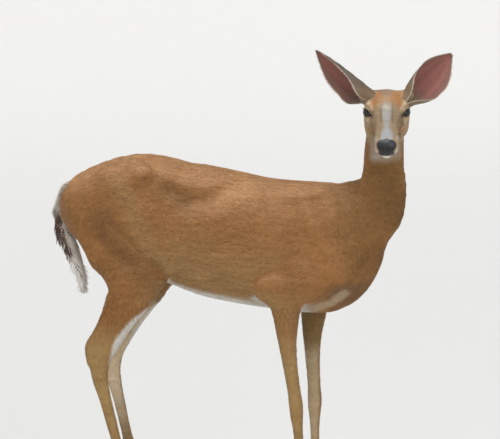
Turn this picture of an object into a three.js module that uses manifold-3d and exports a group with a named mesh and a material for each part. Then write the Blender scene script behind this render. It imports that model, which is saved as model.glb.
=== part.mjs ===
// A white-tailed deer, an adult doe in her short summer coat, life size and standing still.
// Her flesh is one field of named muscles and bones that melt into each other. Each part of the
// body is the surface of that field in its own region, parted from its neighbours by thin flat
// cuts. +X is the way the body points, +Y is the doe's left and +Z is up, in millimetres. The head
// is turned to the doe's right. The finished group stands over the middle of its footprint box.

import * as THREE from 'three';
import { mergeVertices } from 'three/addons/utils/BufferGeometryUtils.js';
import Module from 'manifold-3d';

const wasm = await Module();
wasm.setup();

// ---------------------------------------------------------------- driving dimensions

const GAP = 0.3; // between parts that meet
const JOIN = { limb: 34, foot: 26, neck: 40, muscle: 30 }; // how softly forms melt together
const HEAD = {
  at: [502, -130, 1069], // midway between the eyes
  turn: -75.4, // of the face from the body's heading, about +Z
  nod: 19, // the muzzle's drop below level
};
const EYE = { radius: 16.5, out: 45, opening: [13, 11.5, 10] };
const EAR = { thick: 3.6, rootThick: 7.6, bow: 5, columns: 6 };
const HOOF = { length: 66, width: 22, height: 37, heel: 23, cleft: 2 };
const DEWCLAW = { length: 21, radius: 6.2, spread: 11, lean: 18 };
const CELL = {
  trunk: [42, 31, 34],
  neck: [28, 26, 31],
  head: [14, 12.4, 12.4],
  tail: [24, 23, 34],
  forearm: [19, 17, 34],
  foreCannon: [13, 13, 34],
  shank: [28, 22, 36],
  hindCannon: [15.5, 14, 30],
  pastern: [14.5, 14, 20],
};

// The doe's own left is +Y. Her left hind foot stands a little behind the right one, and her left
// foreleg leans back to a hoof that stands behind the right one.
const SIDES = [
  { name: 'left', s: 1, hindShift: -20, foreShift: 40, foreLean: -44 },
  { name: 'right', s: -1, hindShift: 0, foreShift: 0, foreLean: 0 },
];
const LATERAL = [0, 1, 0];

// ---------------------------------------------------------------- body tables
// Trunk sections: x, height of the widest place, half width, top, bottom.

const TRUNK = [
  [-416, 806, 36, 832, 772],
  [-394, 803, 66, 862, 722],
  [-365, 795, 90, 892, 680],
  [-310, 790, 100, 919, 655],
  [-250, 786, 103, 938, 634],
  [-195, 776, 101, 938, 612],
  [-140, 758, 101, 926, 592],
  [-80, 736, 107, 917, 568],
  [-20, 722, 113, 906, 547],
  [50, 712, 116, 894, 534],
  [120, 706, 113, 881, 525],
  [190, 700, 105, 875, 518],
  [255, 694, 97, 873, 513],
  [315, 690, 89, 868, 515],
  [352, 684, 80, 866, 522],
  [386, 676, 64, 800, 536],
  [410, 668, 48, 730, 550],
  [426, 662, 24, 690, 572],
];

// Limb stations: x, y, z, half width, and the half depths in front and behind. On the neck and
// the tail they are the half depths towards the nape and the throat, and away from and towards
// the rump. Where the two are alike, one is given. y is out from the midline on paired limbs.

const NECK = [
  [330, 0, 690, 66, 120, 86],
  [378, 0, 746, 66, 104, 86],
  [424, -3, 806, 62, 79, 97],
  [453, -9, 856, 56, 60, 76],
  [465, -20, 908, 53, 57, 58],
  [472, -34, 958, 52, 57, 53],
  [480, -52, 1008, 52, 53, 49],
  [487, -66, 1050, 46, 44, 40],
];
const TAIL = [
  [-396, 0, 838, 30, 18],
  [-422, 0, 824, 29, 20],
  [-446, 0, 792, 31, 21],
  [-460, 0, 752, 36, 22],
  [-446, 0, 702, 38, 22],
  [-425, 0, 650, 34, 22],
  [-405, 0, 598, 24, 16],
  [-398, 0, 556, 13, 9],
  [-399, 0, 522, 6, 5],
];
const SHOULDER_BLADE = [
  [298, 40, 826, 30, 40, 40],
  [330, 54, 770, 38, 60, 66],
  [358, 60, 690, 36, 56, 62],
  [368, 61, 628, 32, 50, 52],
];
const UPPER_ARM = [
  [352, 66, 640, 34, 52],
  [285, 72, 612, 37, 58],
  [218, 76, 578, 32, 48],
];
const FORELEG = [
  [206, 78, 585, 33, 52, 54],
  [209, 73, 520, 27, 40, 40],
  [212, 69, 450, 21, 27, 29],
  [219, 66, 380, 17.5, 21, 22],
  [229, 64, 310, 17, 18.5, 19],
  [234, 63, 268, 19.5, 20.5, 19.5],
  [237, 62, 235, 17.5, 17.5, 18.5],
  [240, 62, 200, 13.5, 14, 14.5],
  [246, 61, 140, 12.5, 13, 14],
  [250, 61, 104, 16.5, 16, 18.5],
  [255, 61, 84, 17.5, 15.5, 19],
  [272, 61, 52, 15.5, 14, 14.5],
  [281, 61, 34, 19, 19, 18],
  [285, 61, 22, 19, 20, 18],
];
const THIGH = [
  [-250, 46, 850, 48, 78],
  [-262, 58, 780, 54, 100],
  [-252, 66, 710, 50, 106],
  [-232, 72, 645, 42, 104, 98],
  [-218, 74, 592, 36, 86, 80],
];
const BUTTOCK = [
  [-372, 42, 800, 36, 44],
  [-352, 56, 730, 36, 44],
  [-318, 66, 655, 34, 38],
];
const HIND_LEG = [
  [-216, 74, 610, 38, 84, 76],
  [-226, 76, 560, 34, 66, 62],
  [-243, 78, 515, 28, 46, 46],
  [-266, 79, 468, 24, 34, 36],
  [-292, 80, 420, 20, 29, 28],
  [-314, 80, 382, 21, 29, 27],
  [-322, 80, 350, 20, 28, 27],
  [-319, 79, 315, 16.5, 23, 23],
  [-306, 78, 265, 14, 18, 18],
  [-290, 76, 205, 13, 16, 16.5],
  [-275, 74, 145, 13, 15, 16],
  [-265, 73, 106, 17, 17, 20],
  [-259, 73, 86, 18, 16.5, 20],
  [-241, 73, 52, 15.5, 14, 15],
  [-231, 73, 34, 19, 19, 18],
  [-227, 73, 22, 19, 20, 18],
];
const HEEL_CORD = [
  [-284, 76, 545, 17, 20],
  [-301, 79, 490, 14, 19, 20],
  [-322, 80, 445, 13, 18, 20],
  [-343, 80, 406, 14, 20, 22],
  [-338, 80, 366, 15, 20, 21],
];

// Head stations are in the head's own frame: +X along the muzzle, +Z out of the forehead.
const MUZZLE = [
  [18, 0, -14, 40, 36, 46],
  [55, 0, -24, 33.5, 31, 40],
  [92, 0, -33, 28.5, 26, 32],
  [124, 0, -39, 27, 23, 24],
  [140, 0, -41, 27, 21, 20],
];
const NASAL_BONES = [
  [0, 0, 24, 26, 15],
  [45, 0, 10, 17, 13],
  [95, 0, -8, 14, 11],
  [134, 0, -22, 16, 9],
];
const LOWER_JAW = [
  [-34, 0, -58, 27, 19],
  [28, 0, -67, 19, 16],
  [78, 0, -68, 17, 13],
  [116, 0, -68, 16, 12],
  [130, 0, -66, 14, 11],
];
const CHEEKBONE = [
  [34, 32, -22, 11, 13],
  [-2, 43, -24, 13, 14],
  [-40, 46, -14, 12, 15],
];
const EAR_BASE = [
  [-46, 28, 14, 27, 25],
  [-52, 52, 22, 24, 22],
];

// From root to tip of an ear: how far along, half the cup's width, and how far round it wraps, in
// degrees each way from the middle of its back.
const EAR_SECTIONS = [
  [0, 18, 150],
  [0.12, 29.5, 132],
  [0.25, 40.5, 104],
  [0.39, 45.5, 82],
  [0.52, 47, 71],
  [0.66, 42, 64],
  [0.8, 29.5, 58],
  [0.91, 16, 52],
  [1, 4, 45],
];
// The middle of an ear's back runs from root to tip, and its cup opens towards `open`, all in the
// head's frame. The left ear faces forward and the right one is turned out to its side. `sweep` is how
// far the cup's middle bows across that line.
const EARS = [
  { name: 'left', root: [-47, 49, 13.5], tip: [-146, 171.5, 107.5], open: [0.84, 0.37, 0.4], sweep: 3 },
  { name: 'right', root: [-50.5, -36, 31.5], tip: [-105, -187, 133], open: [0.77, -0.52, -0.38], sweep: -10 },
];

// ---------------------------------------------------------------- small vector sums

const add = (a, b) => [a[0] + b[0], a[1] + b[1], a[2] + b[2]];
const sub = (a, b) => [a[0] - b[0], a[1] - b[1], a[2] - b[2]];
const scale = (a, k) => [a[0] * k, a[1] * k, a[2] * k];
const dot = (a, b) => a[0] * b[0] + a[1] * b[1] + a[2] * b[2];
const norm = (x, y, z) => Math.sqrt(x * x + y * y + z * z);
const unit = (a) => scale(a, 1 / norm(...a));
const mix = (a, b, t) => a.map((value, i) => value + (b[i] - value) * t);
const cross = (a, b) => [
  a[1] * b[2] - a[2] * b[1],
  a[2] * b[0] - a[0] * b[2],
  a[0] * b[1] - a[1] * b[0],
];

// ---------------------------------------------------------------- frames

const radians = THREE.MathUtils.degToRad;
const WORLD = new THREE.Matrix4();
const headFrame = new THREE.Matrix4()
  .makeRotationZ(radians(HEAD.turn))
  .multiply(new THREE.Matrix4().makeRotationY(radians(HEAD.nod)))
  .setPosition(...HEAD.at);
const toWorld = (frame, p) => new THREE.Vector3(...p).applyMatrix4(frame).toArray();
const turned = (frame, p) => new THREE.Vector3(...p).transformDirection(frame).toArray();

// ---------------------------------------------------------------- fields
// A field is a function (x, y, z) => about the distance to a surface, negative inside it.

const FAR_ENOUGH = 90; // past this, the distance to a limb's box stands in for the limb

function eggDistance(a, b, c, ra, rb, rc) {
  const k0 = norm(a / ra, b / rb, c / rc);
  const k1 = norm(a / ra / ra, b / rb / rb, c / rc / rc);
  return k1 > 1e-9 ? (k0 * (k0 - 1)) / k1 : -Math.min(ra, rb, rc);
}

const ellipsoid = ([cx, cy, cz], [rx, ry, rz]) => (x, y, z) =>
  eggDistance(x - cx, y - cy, z - cz, rx, ry, rz);

// Rows of numbers, with `steps` rows for each one given, along a Catmull-Rom curve.
function smoothRows(rows, steps) {
  const last = rows.length - 1;
  const out = [];
  for (let i = 0; i < last; i++) {
    const [before, here, next, after] = [Math.max(i - 1, 0), i, i + 1, Math.min(i + 2, last)].map((n) => rows[n]);
    for (let j = 0; j < steps; j++) {
      const t = j / steps;
      out.push(here.map((p1, c) => {
        const [p0, p2, p3] = [before[c], next[c], after[c]];
        const bend = 2 * p0 - 5 * p1 + 4 * p2 - p3 + t * (3 * (p1 - p2) + p3 - p0);
        return p1 + 0.5 * t * (p2 - p0 + t * bend);
      }));
    }
  }
  out.push(rows[last]);
  return out;
}

// A limb or muscle: egg-shaped sections along a curve. Its half width lies along `lateral`, and
// its first half depth towards axis x lateral.
function limb(stations, lateral = LATERAL, steps = 3) {
  const rows = smoothRows(stations.map((row) => (row.length === 6 ? row : [...row, row[4]])), steps);
  const links = rows.slice(1).map((end, i) => {
    const start = rows[i];
    const run = sub(end, start);
    const length = norm(...run);
    const axis = scale(run, 1 / length);
    const over = unit(cross(axis, lateral));
    return { start, end, length, axis, over, side: cross(over, axis) };
  });
  const away = outsideBox(rows);
  return (x, y, z) => {
    const far = away(x, y, z);
    if (far > FAR_ENOUGH) return far;
    let nearest = Infinity;
    for (const link of links) nearest = Math.min(nearest, linkDistance(link, x, y, z));
    return nearest;
  };
}

function linkDistance({ start, end, length, axis, over, side }, x, y, z) {
  const dx = x - start[0];
  const dy = y - start[1];
  const dz = z - start[2];
  const along = dx * axis[0] + dy * axis[1] + dz * axis[2];
  const t = Math.min(Math.max(along / length, 0), 1);
  const sideways = dx * side[0] + dy * side[1] + dz * side[2];
  const deep = dx * over[0] + dy * over[1] + dz * over[2];
  const width = start[3] + (end[3] - start[3]) * t;
  const half = deep > 0 ? 4 : 5;
  const depth = start[half] + (end[half] - start[half]) * t;
  return eggDistance(sideways, deep, along - t * length, width, depth, Math.min(width, depth));
}

// How far a point is outside the box round a limb's rows.
function outsideBox(rows) {
  const low = [0, 1, 2].map((i) => Math.min(...rows.map((row) => row[i] - Math.max(row[3], row[4], row[5]))));
  const high = [0, 1, 2].map((i) => Math.max(...rows.map((row) => row[i] + Math.max(row[3], row[4], row[5]))));
  return (x, y, z) => Math.max(low[0] - x, x - high[0], low[1] - y, y - high[1], low[2] - z, z - high[2]);
}

const smoothMin = (a, b, k) => {
  const h = Math.max(k - Math.abs(a - b), 0) / k;
  return Math.min(a, b) - (h * h * k) / 4;
};

// The soft union of fields, each blended over k millimetres.
const melt = (k, ...fields) => (x, y, z) => {
  let sum = 1e6;
  for (const field of fields) sum = smoothMin(sum, field(x, y, z), k);
  return sum;
};

// A field with a soft hollow pressed into it.
const hollow = (field, k, tool) => (x, y, z) => -smoothMin(-field(x, y, z), tool(x, y, z), k);

// A field given in a turned frame of its own.
function placed(frame, field) {
  const e = frame.clone().invert().elements;
  return (x, y, z) => field(
    e[0] * x + e[4] * y + e[8] * z + e[12],
    e[1] * x + e[5] * y + e[9] * z + e[13],
    e[2] * x + e[6] * y + e[10] * z + e[14],
  );
}

// ---------------------------------------------------------------- the body's fields

const paired = (make) => SIDES.map(({ s }) => make(s));
const onSide = (rows, s, shift = () => 0) =>
  rows.map(([x, y, z, ...radii]) => [x + shift(z), y * s, z, ...radii]);

function trunkField() {
  const sections = TRUNK.map(([x, z, half, top, bottom]) => [x, 0, z, half, top - z, z - bottom]);
  const barrel = limb(sections, LATERAL, 2);
  const hipBones = paired((s) => limb(onSide([[-222, 52, 902, 26, 24], [-188, 74, 884, 22, 22]], s)));
  const body = melt(40, barrel, ...hipBones);
  // The hollow of the flank, in front of each hip bone and below the loin.
  const flanks = paired((s) => ellipsoid([-55, s * 150, 814], [85, 42, 44]));
  return flanks.reduce((field, tool) => hollow(field, 34, tool), body);
}

function shoulderField(s) {
  const elbow = ellipsoid([163, s * 82, 572], [34, 20, 26]);
  return melt(JOIN.muscle, limb(onSide(SHOULDER_BLADE, s)), limb(onSide(UPPER_ARM, s)), elbow);
}

const haunchField = (s) => melt(JOIN.muscle, limb(onSide(THIGH, s)), limb(onSide(BUTTOCK, s)));

// How far forward a side's foreleg stands at a height, from the right one's place.
const ELBOW_HEIGHT = 560;
const foreX = ({ foreShift, foreLean }, z) => foreShift + foreLean * (1 - z / ELBOW_HEIGHT);
const foreLegField = (side) => limb(onSide(FORELEG, side.s, (z) => foreX(side, z)));

function hindLegField({ s, hindShift }) {
  const shift = () => hindShift;
  return melt(14, limb(onSide(HIND_LEG, s, shift)), limb(onSide(HEEL_CORD, s, shift)));
}

function skullField() {
  return melt(
    16,
    ellipsoid([-44, 0, 3], [56, 45, 42]), // cranium
    ellipsoid([-8, 0, 13], [46, 41, 28]), // forehead
    ...paired((s) => ellipsoid([-6, s * 43, 5], [27, 18, 23])), // rim of the orbit
    limb(MUZZLE),
    limb(NASAL_BONES),
    ...paired((s) => limb(onSide(CHEEKBONE, s))),
    ...paired((s) => ellipsoid([-26, s * 41, -42], [44, 19, 36])), // jaw muscle
    ...paired((s) => limb(onSide(EAR_BASE, s), [1, 0, 0])),
  );
}

function lipField() {
  return melt(
    9,
    ellipsoid([146, 0, -33], [15, 23, 17]), // nose pad
    ...paired((s) => ellipsoid([142, s * 18, -35], [15, 10, 13])), // wings of the nostrils
    ellipsoid([136, 0, -51], [19, 26, 13]), // upper lip
    limb(LOWER_JAW),
  );
}

function headField() {
  // The lids stand open in front of each eye, which looks out and a little forward.
  const openings = paired((s) => ellipsoid([8.5, s * (EYE.out + 9), 1.5], EYE.opening));
  const whole = melt(12, skullField(), lipField());
  return placed(headFrame, openings.reduce((field, tool) => hollow(field, 5, tool), whole));
}

const trunk = melt(JOIN.limb, trunkField(), ...SIDES.flatMap(({ s }) => [shoulderField(s), haunchField(s)]));
const flesh = melt(
  JOIN.foot,
  melt(JOIN.neck, trunk, limb(NECK)),
  headField(),
  ...SIDES.flatMap((side) => [foreLegField(side), hindLegField(side)]),
);

// ---------------------------------------------------------------- fields into solids

const CORNERS = [0, 1, 2, 3, 4, 5, 6, 7].map((c) => [c & 1, (c >> 1) & 1, c >> 2]);
const EDGES = CORNERS.flatMap((_, a) => [1, 2, 4].filter((bit) => !(a & bit)).map((bit) => [a, a | bit]));

// The surface of a field inside a box of `frame`, as quads of about `cell` on a side.
function surfaceNet(field, frame, low, high, cell) {
  const box = placed(frame, (x, y, z) =>
    Math.max(low[0] - x, x - high[0], low[1] - y, y - high[1], low[2] - z, z - high[2]));
  const whole = (x, y, z) => Math.max(field(x, y, z), box(x, y, z));
  const count = low.map((v, i) => Math.ceil((high[i] - v) / cell[i]) + 4);
  const strides = [1, count[0], count[0] * count[1]];
  const index = (ijk) => dot(ijk, strides);
  const points = [];
  const values = [];
  eachCell(count, 0, 0, (ijk) => {
    const point = toWorld(frame, ijk.map((n, axis) => low[axis] + (n - 1.5) * cell[axis]));
    points.push(point);
    values.push(whole(...point));
  });
  const vertices = [];
  const vertexOf = new Map();
  eachCell(count, 0, 1, (ijk) => {
    const ids = CORNERS.map((corner) => index(add(ijk, corner)));
    const crossings = EDGES.filter(([a, b]) => values[ids[a]] < 0 !== values[ids[b]] < 0).map(([a, b]) => {
      const [va, vb] = [values[ids[a]], values[ids[b]]];
      return mix(points[ids[a]], points[ids[b]], va / (va - vb));
    });
    if (!crossings.length) return;
    vertexOf.set(index(ijk), vertices.length);
    vertices.push(scale(crossings.reduce(add), 1 / crossings.length));
  });
  const triangles = [];
  eachCell(count, 1, 1, (ijk) => {
    const n = index(ijk);
    strides.forEach((stride, axis) => {
      const solid = values[n] < 0;
      if (solid === values[n + stride] < 0) return;
      const [u, v] = [strides[(axis + 1) % 3], strides[(axis + 2) % 3]];
      const quad = [n, n - u, n - u - v, n - v].map((corner) => vertexOf.get(corner));
      triangles.push(...quadTriangles(vertices, solid ? quad : quad.reverse()));
    });
  });
  const reach = Math.min(...cell) / 2;
  return { vertices: vertices.map((p) => settle(whole, p, reach)), triangles };
}

function eachCell(count, from, short, visit) {
  for (let k = from; k < count[2] - short; k++)
    for (let j = from; j < count[1] - short; j++)
      for (let i = from; i < count[0] - short; i++) visit([i, j, k]);
}

// A quad's two triangles, parted along its shorter diagonal.
function quadTriangles(vertices, quad) {
  const span = (a, b) => norm(...sub(vertices[quad[a]], vertices[quad[b]]));
  const first = span(0, 2) > span(1, 3) ? 1 : 0;
  const [a, b, c, d] = [0, 1, 2, 3].map((corner) => quad[(corner + first) % 4]);
  return [a, b, c, a, c, d];
}

// Moves a point onto the surface of a field, by at most `reach`.
function settle(field, point, reach) {
  const h = 0.5;
  const steps = [[h, 0, 0], [0, h, 0], [0, 0, h]];
  let p = point;
  for (let round = 0; round < 3; round++) {
    const slope = steps.map((step) => (field(...add(p, step)) - field(...sub(p, step))) / (2 * h));
    const steepness = dot(slope, slope);
    if (steepness < 1e-4) break;
    const next = add(p, scale(slope, -field(...p) / steepness));
    if (norm(...sub(next, point)) > reach) break;
    p = next;
  }
  return p;
}

function solidFrom(vertices, triangles) {
  const vertProperties = new Float32Array(vertices.flat());
  return new wasm.Manifold(new wasm.Mesh({ numProp: 3, vertProperties, triVerts: new Uint32Array(triangles) }));
}

const pointsOf = ({ position }) =>
  Array.from({ length: position.count }, (_, i) => [position.getX(i), position.getY(i), position.getZ(i)]);

function solidOf(geometry) {
  const bare = geometry.clone();
  bare.deleteAttribute('normal');
  bare.deleteAttribute('uv');
  const merged = mergeVertices(bare, 1e-3);
  return solidFrom(pointsOf(merged.attributes), merged.index.array);
}

function geometryOf(solid) {
  const mesh = solid.getMesh();
  const geometry = new THREE.BufferGeometry();
  geometry.setAttribute('position', new THREE.BufferAttribute(mesh.vertProperties, mesh.numProp));
  geometry.setIndex(new THREE.BufferAttribute(mesh.triVerts, 1));
  return geometry;
}

// Draws together corners that a cut has left almost on top of each other.
const WELD = 0.2;
function welded(solid) {
  const merged = mergeVertices(geometryOf(solid).toNonIndexed(), WELD);
  const order = merged.index.array;
  const triangles = [];
  for (let i = 0; i < order.length; i += 3) {
    const [a, b, c] = order.slice(i, i + 3);
    if (a !== b && b !== c && c !== a) triangles.push(a, b, c);
  }
  return solidFrom(pointsOf(merged.attributes), triangles);
}

// A solid grown outwards by a little, which leaves a gap in whatever is cut to fit round it.
function swollen(solid, by = 2 * GAP) {
  const geometry = geometryOf(solid);
  geometry.computeVertexNormals();
  const { normal } = geometry.attributes;
  const grow = (p, i) => add(p, scale([normal.getX(i), normal.getY(i), normal.getZ(i)], by));
  return solidFrom(pointsOf(geometry.attributes).map(grow), geometry.index.array);
}

// Everything past the plane [point, normal] on the side its normal shows, beyond half the gap.
const HALF_SPACE = 3000;
function beyond([point, normal]) {
  const n = unit(normal);
  const box = new THREE.BoxGeometry(HALF_SPACE, HALF_SPACE, HALF_SPACE);
  const up = new THREE.Vector3(0, 0, 1);
  box.applyQuaternion(new THREE.Quaternion().setFromUnitVectors(up, new THREE.Vector3(...n)));
  box.translate(...add(point, scale(n, (HALF_SPACE + GAP) / 2)));
  return solidOf(box);
}

// The biggest piece of a solid: a cut can leave a crumb beside the piece that is meant.
const largest = (solid) => solid.decompose().sort((a, b) => b.volume() - a.volume())[0];

// One part of the body: a field's solid inside a box of `frame`, past every cut.
function carve({ field = flesh, frame = WORLD, low, high, cell, cuts = [] }) {
  const { vertices, triangles } = surfaceNet(field, frame, low, high, cell);
  return largest(cuts.reduce((solid, cut) => solid.intersect(beyond(cut)), solidFrom(vertices, triangles)));
}

// ---------------------------------------------------------------- where the body is parted
// A cut is [point, normal]. Its part lies where the normal points, and the next part behind it.

const behind = ([point, normal]) => [point, scale(normal, -1)];
const CUTS = {
  nape: [toWorld(headFrame, [-64, 0, -30]), turned(headFrame, [0.85, 0, 0.53])],
  collar: [[430, 0, 780], [0.913, 0, 0.408]],
  ribs: [[150, 0, 700], [1, 0, 0]],
  loin: [[-120, 0, 700], [1, 0, 0]],
  elbow: [[210, 0, 509], [0, 0, -1]],
  stifle: [[-140, 0, 566], [-0.474, 0, -0.88]],
};

// ---------------------------------------------------------------- parts

const deer = new THREE.Group();
const surface = (color, roughness) => new THREE.MeshStandardMaterial({ color, roughness, metalness: 0 });
const coat = surface(0xa5693f, 0.85);
const earSkin = surface(0x9a5f58, 0.8);
const horn = surface(0x2b2725, 0.45);
const eyeball = surface(0x120c08, 0.08);

function show(name, solid, material) {
  const part = new THREE.Mesh(geometryOf(welded(solid)).toNonIndexed(), material);
  part.geometry.computeVertexNormals();
  part.name = name;
  deer.add(part);
  return solid;
}

function showTrunk() {
  const cell = CELL.trunk;
  const { ribs, loin, collar, elbow, stifle } = CUTS;
  const chestCuts = [ribs, behind(collar), behind(elbow)];
  show('chest', carve({ low: [110, -150, 480], high: [480, 150, 900], cell, cuts: chestCuts }), coat);
  const bellyCuts = [loin, behind(ribs), behind(elbow)];
  show('belly', carve({ low: [-160, -150, 480], high: [190, 150, 960], cell, cuts: bellyCuts }), coat);
  const rumpCuts = [behind(loin), behind(stifle)];
  return show('rump', carve({ low: [-470, -150, 480], high: [-80, 150, 980], cell, cuts: rumpCuts }), coat);
}

function showTail(rump) {
  const tail = carve({ field: limb(TAIL), low: [-520, -60, 500], high: [-380, 60, 900], cell: CELL.tail });
  show('tail', largest(tail.subtract(swollen(rump))), coat);
}

function showNeck() {
  const cuts = [CUTS.collar, behind(CUTS.nape)];
  show('neck', carve({ low: [380, -150, 600], high: [560, 90, 1110], cell: CELL.neck, cuts }), coat);
}

function eyeSphere(s, radius) {
  const ball = new THREE.SphereGeometry(radius, 11, 7);
  ball.translate(0, s * EYE.out, 0);
  ball.applyMatrix4(headFrame);
  return solidOf(ball);
}

function showHead() {
  const cuts = [CUTS.nape];
  const skull = carve({ frame: headFrame, low: [-130, -90, -130], high: [175, 90, 75], cell: CELL.head, cuts });
  const sockets = paired((s) => eyeSphere(s, EYE.radius + GAP));
  SIDES.forEach(({ name, s }) => show('eye_' + name, eyeSphere(s, EYE.radius), eyeball));
  return show('head', largest(sockets.reduce((solid, ball) => solid.subtract(ball), skull)), coat);
}

// A cupped leaf of skin with an outer and an inner face, closed along its rim, root and tip.
function earSolid({ root, tip, open, sweep }) {
  const spine = sub(tip, root);
  const along = unit(spine);
  const front = unit(sub(open, scale(along, dot(open, along))));
  const across = cross(along, front);
  const point = ([v, halfWidth, degrees], u, face) => {
    const wrap = radians(degrees);
    const radius = halfWidth / Math.sin(Math.min(wrap, Math.PI / 2));
    const thick = (EAR.thick + (EAR.rootThick - EAR.thick) * (1 - v) ** 3) * (1 - 0.4 * u * u);
    const reach = radius + (face * thick) / 2;
    const swell = Math.sin(Math.PI * v);
    const centre = add(add(root, scale(spine, v)), scale(front, radius - EAR.bow * swell));
    const sideways = scale(across, sweep * swell + reach * Math.sin(wrap * u));
    return add(centre, add(sideways, scale(front, -reach * Math.cos(wrap * u))));
  };
  const vertices = [];
  const faceGrid = (face) => EAR_SECTIONS.map((section) => Array.from({ length: EAR.columns + 1 }, (_, j) =>
    vertices.push(toWorld(headFrame, point(section, (2 * j) / EAR.columns - 1, face))) - 1));
  const [outer, inner] = [faceGrid(1), faceGrid(-1)];
  const [rows, columns] = [EAR_SECTIONS.length - 1, EAR.columns];
  const triangles = [];
  const quad = (a, b, c, d) => triangles.push(a, b, c, a, c, d);
  for (let i = 0; i < rows; i++) {
    for (let j = 0; j < columns; j++) {
      quad(outer[i][j], outer[i + 1][j], outer[i + 1][j + 1], outer[i][j + 1]);
      quad(inner[i][j], inner[i][j + 1], inner[i + 1][j + 1], inner[i + 1][j]);
    }
    quad(outer[i][0], inner[i][0], inner[i + 1][0], outer[i + 1][0]);
    quad(outer[i + 1][columns], inner[i + 1][columns], inner[i][columns], outer[i][columns]);
  }
  for (let j = 0; j < columns; j++) {
    quad(outer[0][j + 1], inner[0][j + 1], inner[0][j], outer[0][j]);
    quad(outer[rows][j], inner[rows][j], inner[rows][j + 1], outer[rows][j + 1]);
  }
  return solidFrom(vertices, triangles);
}

function showEars(head) {
  const round = swollen(head);
  EARS.forEach((ear) => show('ear_' + ear.name, largest(earSolid(ear).subtract(round)), earSkin));
}

// One claw of a cloven hoof: its side view crossed with its plan. `outward` is +1 or -1 along Y.
function hoofClaw(x, y, outward) {
  const { length, width, height, heel } = HOOF;
  const side = new THREE.Shape();
  side.moveTo(-0.44 * length, 0);
  side.lineTo(0.56 * length, 0);
  side.quadraticCurveTo(0.5 * length, 8, 0.17 * length, height);
  side.lineTo(-0.4 * length, heel);
  side.quadraticCurveTo(-0.5 * length, 9, -0.44 * length, 0);
  const profile = new THREE.ExtrudeGeometry(side, { depth: 2 * width, bevelEnabled: false, curveSegments: 3 });
  profile.rotateX(Math.PI / 2);
  profile.translate(0, 1.5 * width, 0);
  const plan = new THREE.Shape();
  plan.moveTo(-0.46 * length, 0);
  plan.lineTo(0.56 * length, 0);
  plan.bezierCurveTo(0.45 * length, 0.62 * width, 0.1 * length, 1.05 * width, -0.2 * length, 0.95 * width);
  plan.quadraticCurveTo(-0.45 * length, 0.85 * width, -0.46 * length, 0);
  const outline = new THREE.ExtrudeGeometry(plan, { depth: 2 * height, bevelEnabled: false, curveSegments: 3 });
  const claw = solidOf(profile).intersect(solidOf(outline));
  return (outward > 0 ? claw : claw.mirror(LATERAL)).translate([x, y + (outward * HOOF.cleft) / 2, 0]);
}

function dewclaw(x, y, z) {
  const half = DEWCLAW.length / 2;
  const profile = [[0, -1], [0.8, -0.5], [1, 0.3], [0, 1]];
  const outline = profile.map(([r, h]) => new THREE.Vector2(r * DEWCLAW.radius, h * half));
  const cone = new THREE.LatheGeometry(outline, 5);
  cone.rotateX(Math.PI / 2);
  cone.rotateY(radians(DEWCLAW.lean));
  cone.translate(x, y, z);
  return solidOf(cone);
}

// The two claws under a pastern and the two dewclaws behind it.
function showFoot(prefix, s, pastern, toe, [fetlockX, y]) {
  const round = swollen(pastern);
  [1, -1].forEach((outward) => {
    const which = outward === s ? 'outer' : 'inner';
    show(prefix + 'hoof_' + which, largest(hoofClaw(toe, s * y, outward).subtract(round)), horn);
    const spur = dewclaw(fetlockX - 7, s * y + outward * DEWCLAW.spread, 65);
    show(prefix + 'dewclaw_' + which, largest(spur.subtract(round)), horn);
  });
}

// The plane of the coronet, just above the top of a hoof whose middle is at `toe`.
const coronet = (toe) => [
  [toe - 0.4 * HOOF.length, 0, HOOF.heel + 2 * GAP],
  [HOOF.height - HOOF.heel, 0, -0.57 * HOOF.length],
];

// A limb's parts from the top down, each between two cuts across it. Returns the lowest.
function showLimb(prefix, s, parts) {
  const solids = parts.map(({ name, x, z, cell, from, to }) => {
    const [near, far] = [18, 130];
    const low = [x[0], s > 0 ? near : -far, z[0]];
    const high = [x[1], s > 0 ? far : -near, z[1]];
    return show(prefix + name, carve({ low, high, cell, cuts: [from, behind(to)] }), coat);
  });
  return solids[solids.length - 1];
}

function showForeLeg(side) {
  const prefix = 'fore_' + side.name + '_';
  const toe = 286 + foreX(side, 30);
  const knee = [[230 + foreX(side, 302), 0, 302], [0.15, 0, -1]];
  const fetlock = [[247 + foreX(side, 122), 0, 122], [0.12, 0, -1]];
  const crown = coronet(toe);
  const pastern = showLimb(prefix, side.s, [
    { name: 'forearm', x: [120, 340], z: [280, 580], cell: CELL.forearm, from: CUTS.elbow, to: knee },
    { name: 'cannon', x: [180, 330], z: [105, 330], cell: CELL.foreCannon, from: knee, to: fetlock },
    { name: 'pastern', x: [190, 350], z: [10, 150], cell: CELL.pastern, from: fetlock, to: crown },
  ]);
  showFoot(prefix, side.s, pastern, toe, [255 + foreX(side, 84), 61]);
}

function showHindLeg({ name, s, hindShift }) {
  const prefix = 'hind_' + name + '_';
  const toe = -226 + hindShift;
  const hock = [[-300 + hindShift, 0, 402], [-0.45, 0, -0.9]];
  const fetlock = [[-268 + hindShift, 0, 124], [0.2, 0, -1]];
  const crown = coronet(toe);
  const pastern = showLimb(prefix, s, [
    { name: 'shank', x: [-410, -100], z: [380, 740], cell: CELL.shank, from: CUTS.stifle, to: hock },
    { name: 'cannon', x: [-420, -230], z: [105, 470], cell: CELL.hindCannon, from: hock, to: fetlock },
    { name: 'pastern', x: [-330, -160], z: [10, 150], cell: CELL.pastern, from: fetlock, to: crown },
  ]);
  showFoot(prefix, s, pastern, toe, [-259 + hindShift, 73]);
}

showTail(showTrunk());
showNeck();
showEars(showHead());
SIDES.forEach((side) => {
  showForeLeg(side);
  showHindLeg(side);
});

const box = new THREE.Box3().setFromObject(deer);
const middle = box.getCenter(new THREE.Vector3());
deer.position.set(-middle.x, -middle.y, -box.min.z);

export default deer;
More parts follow.
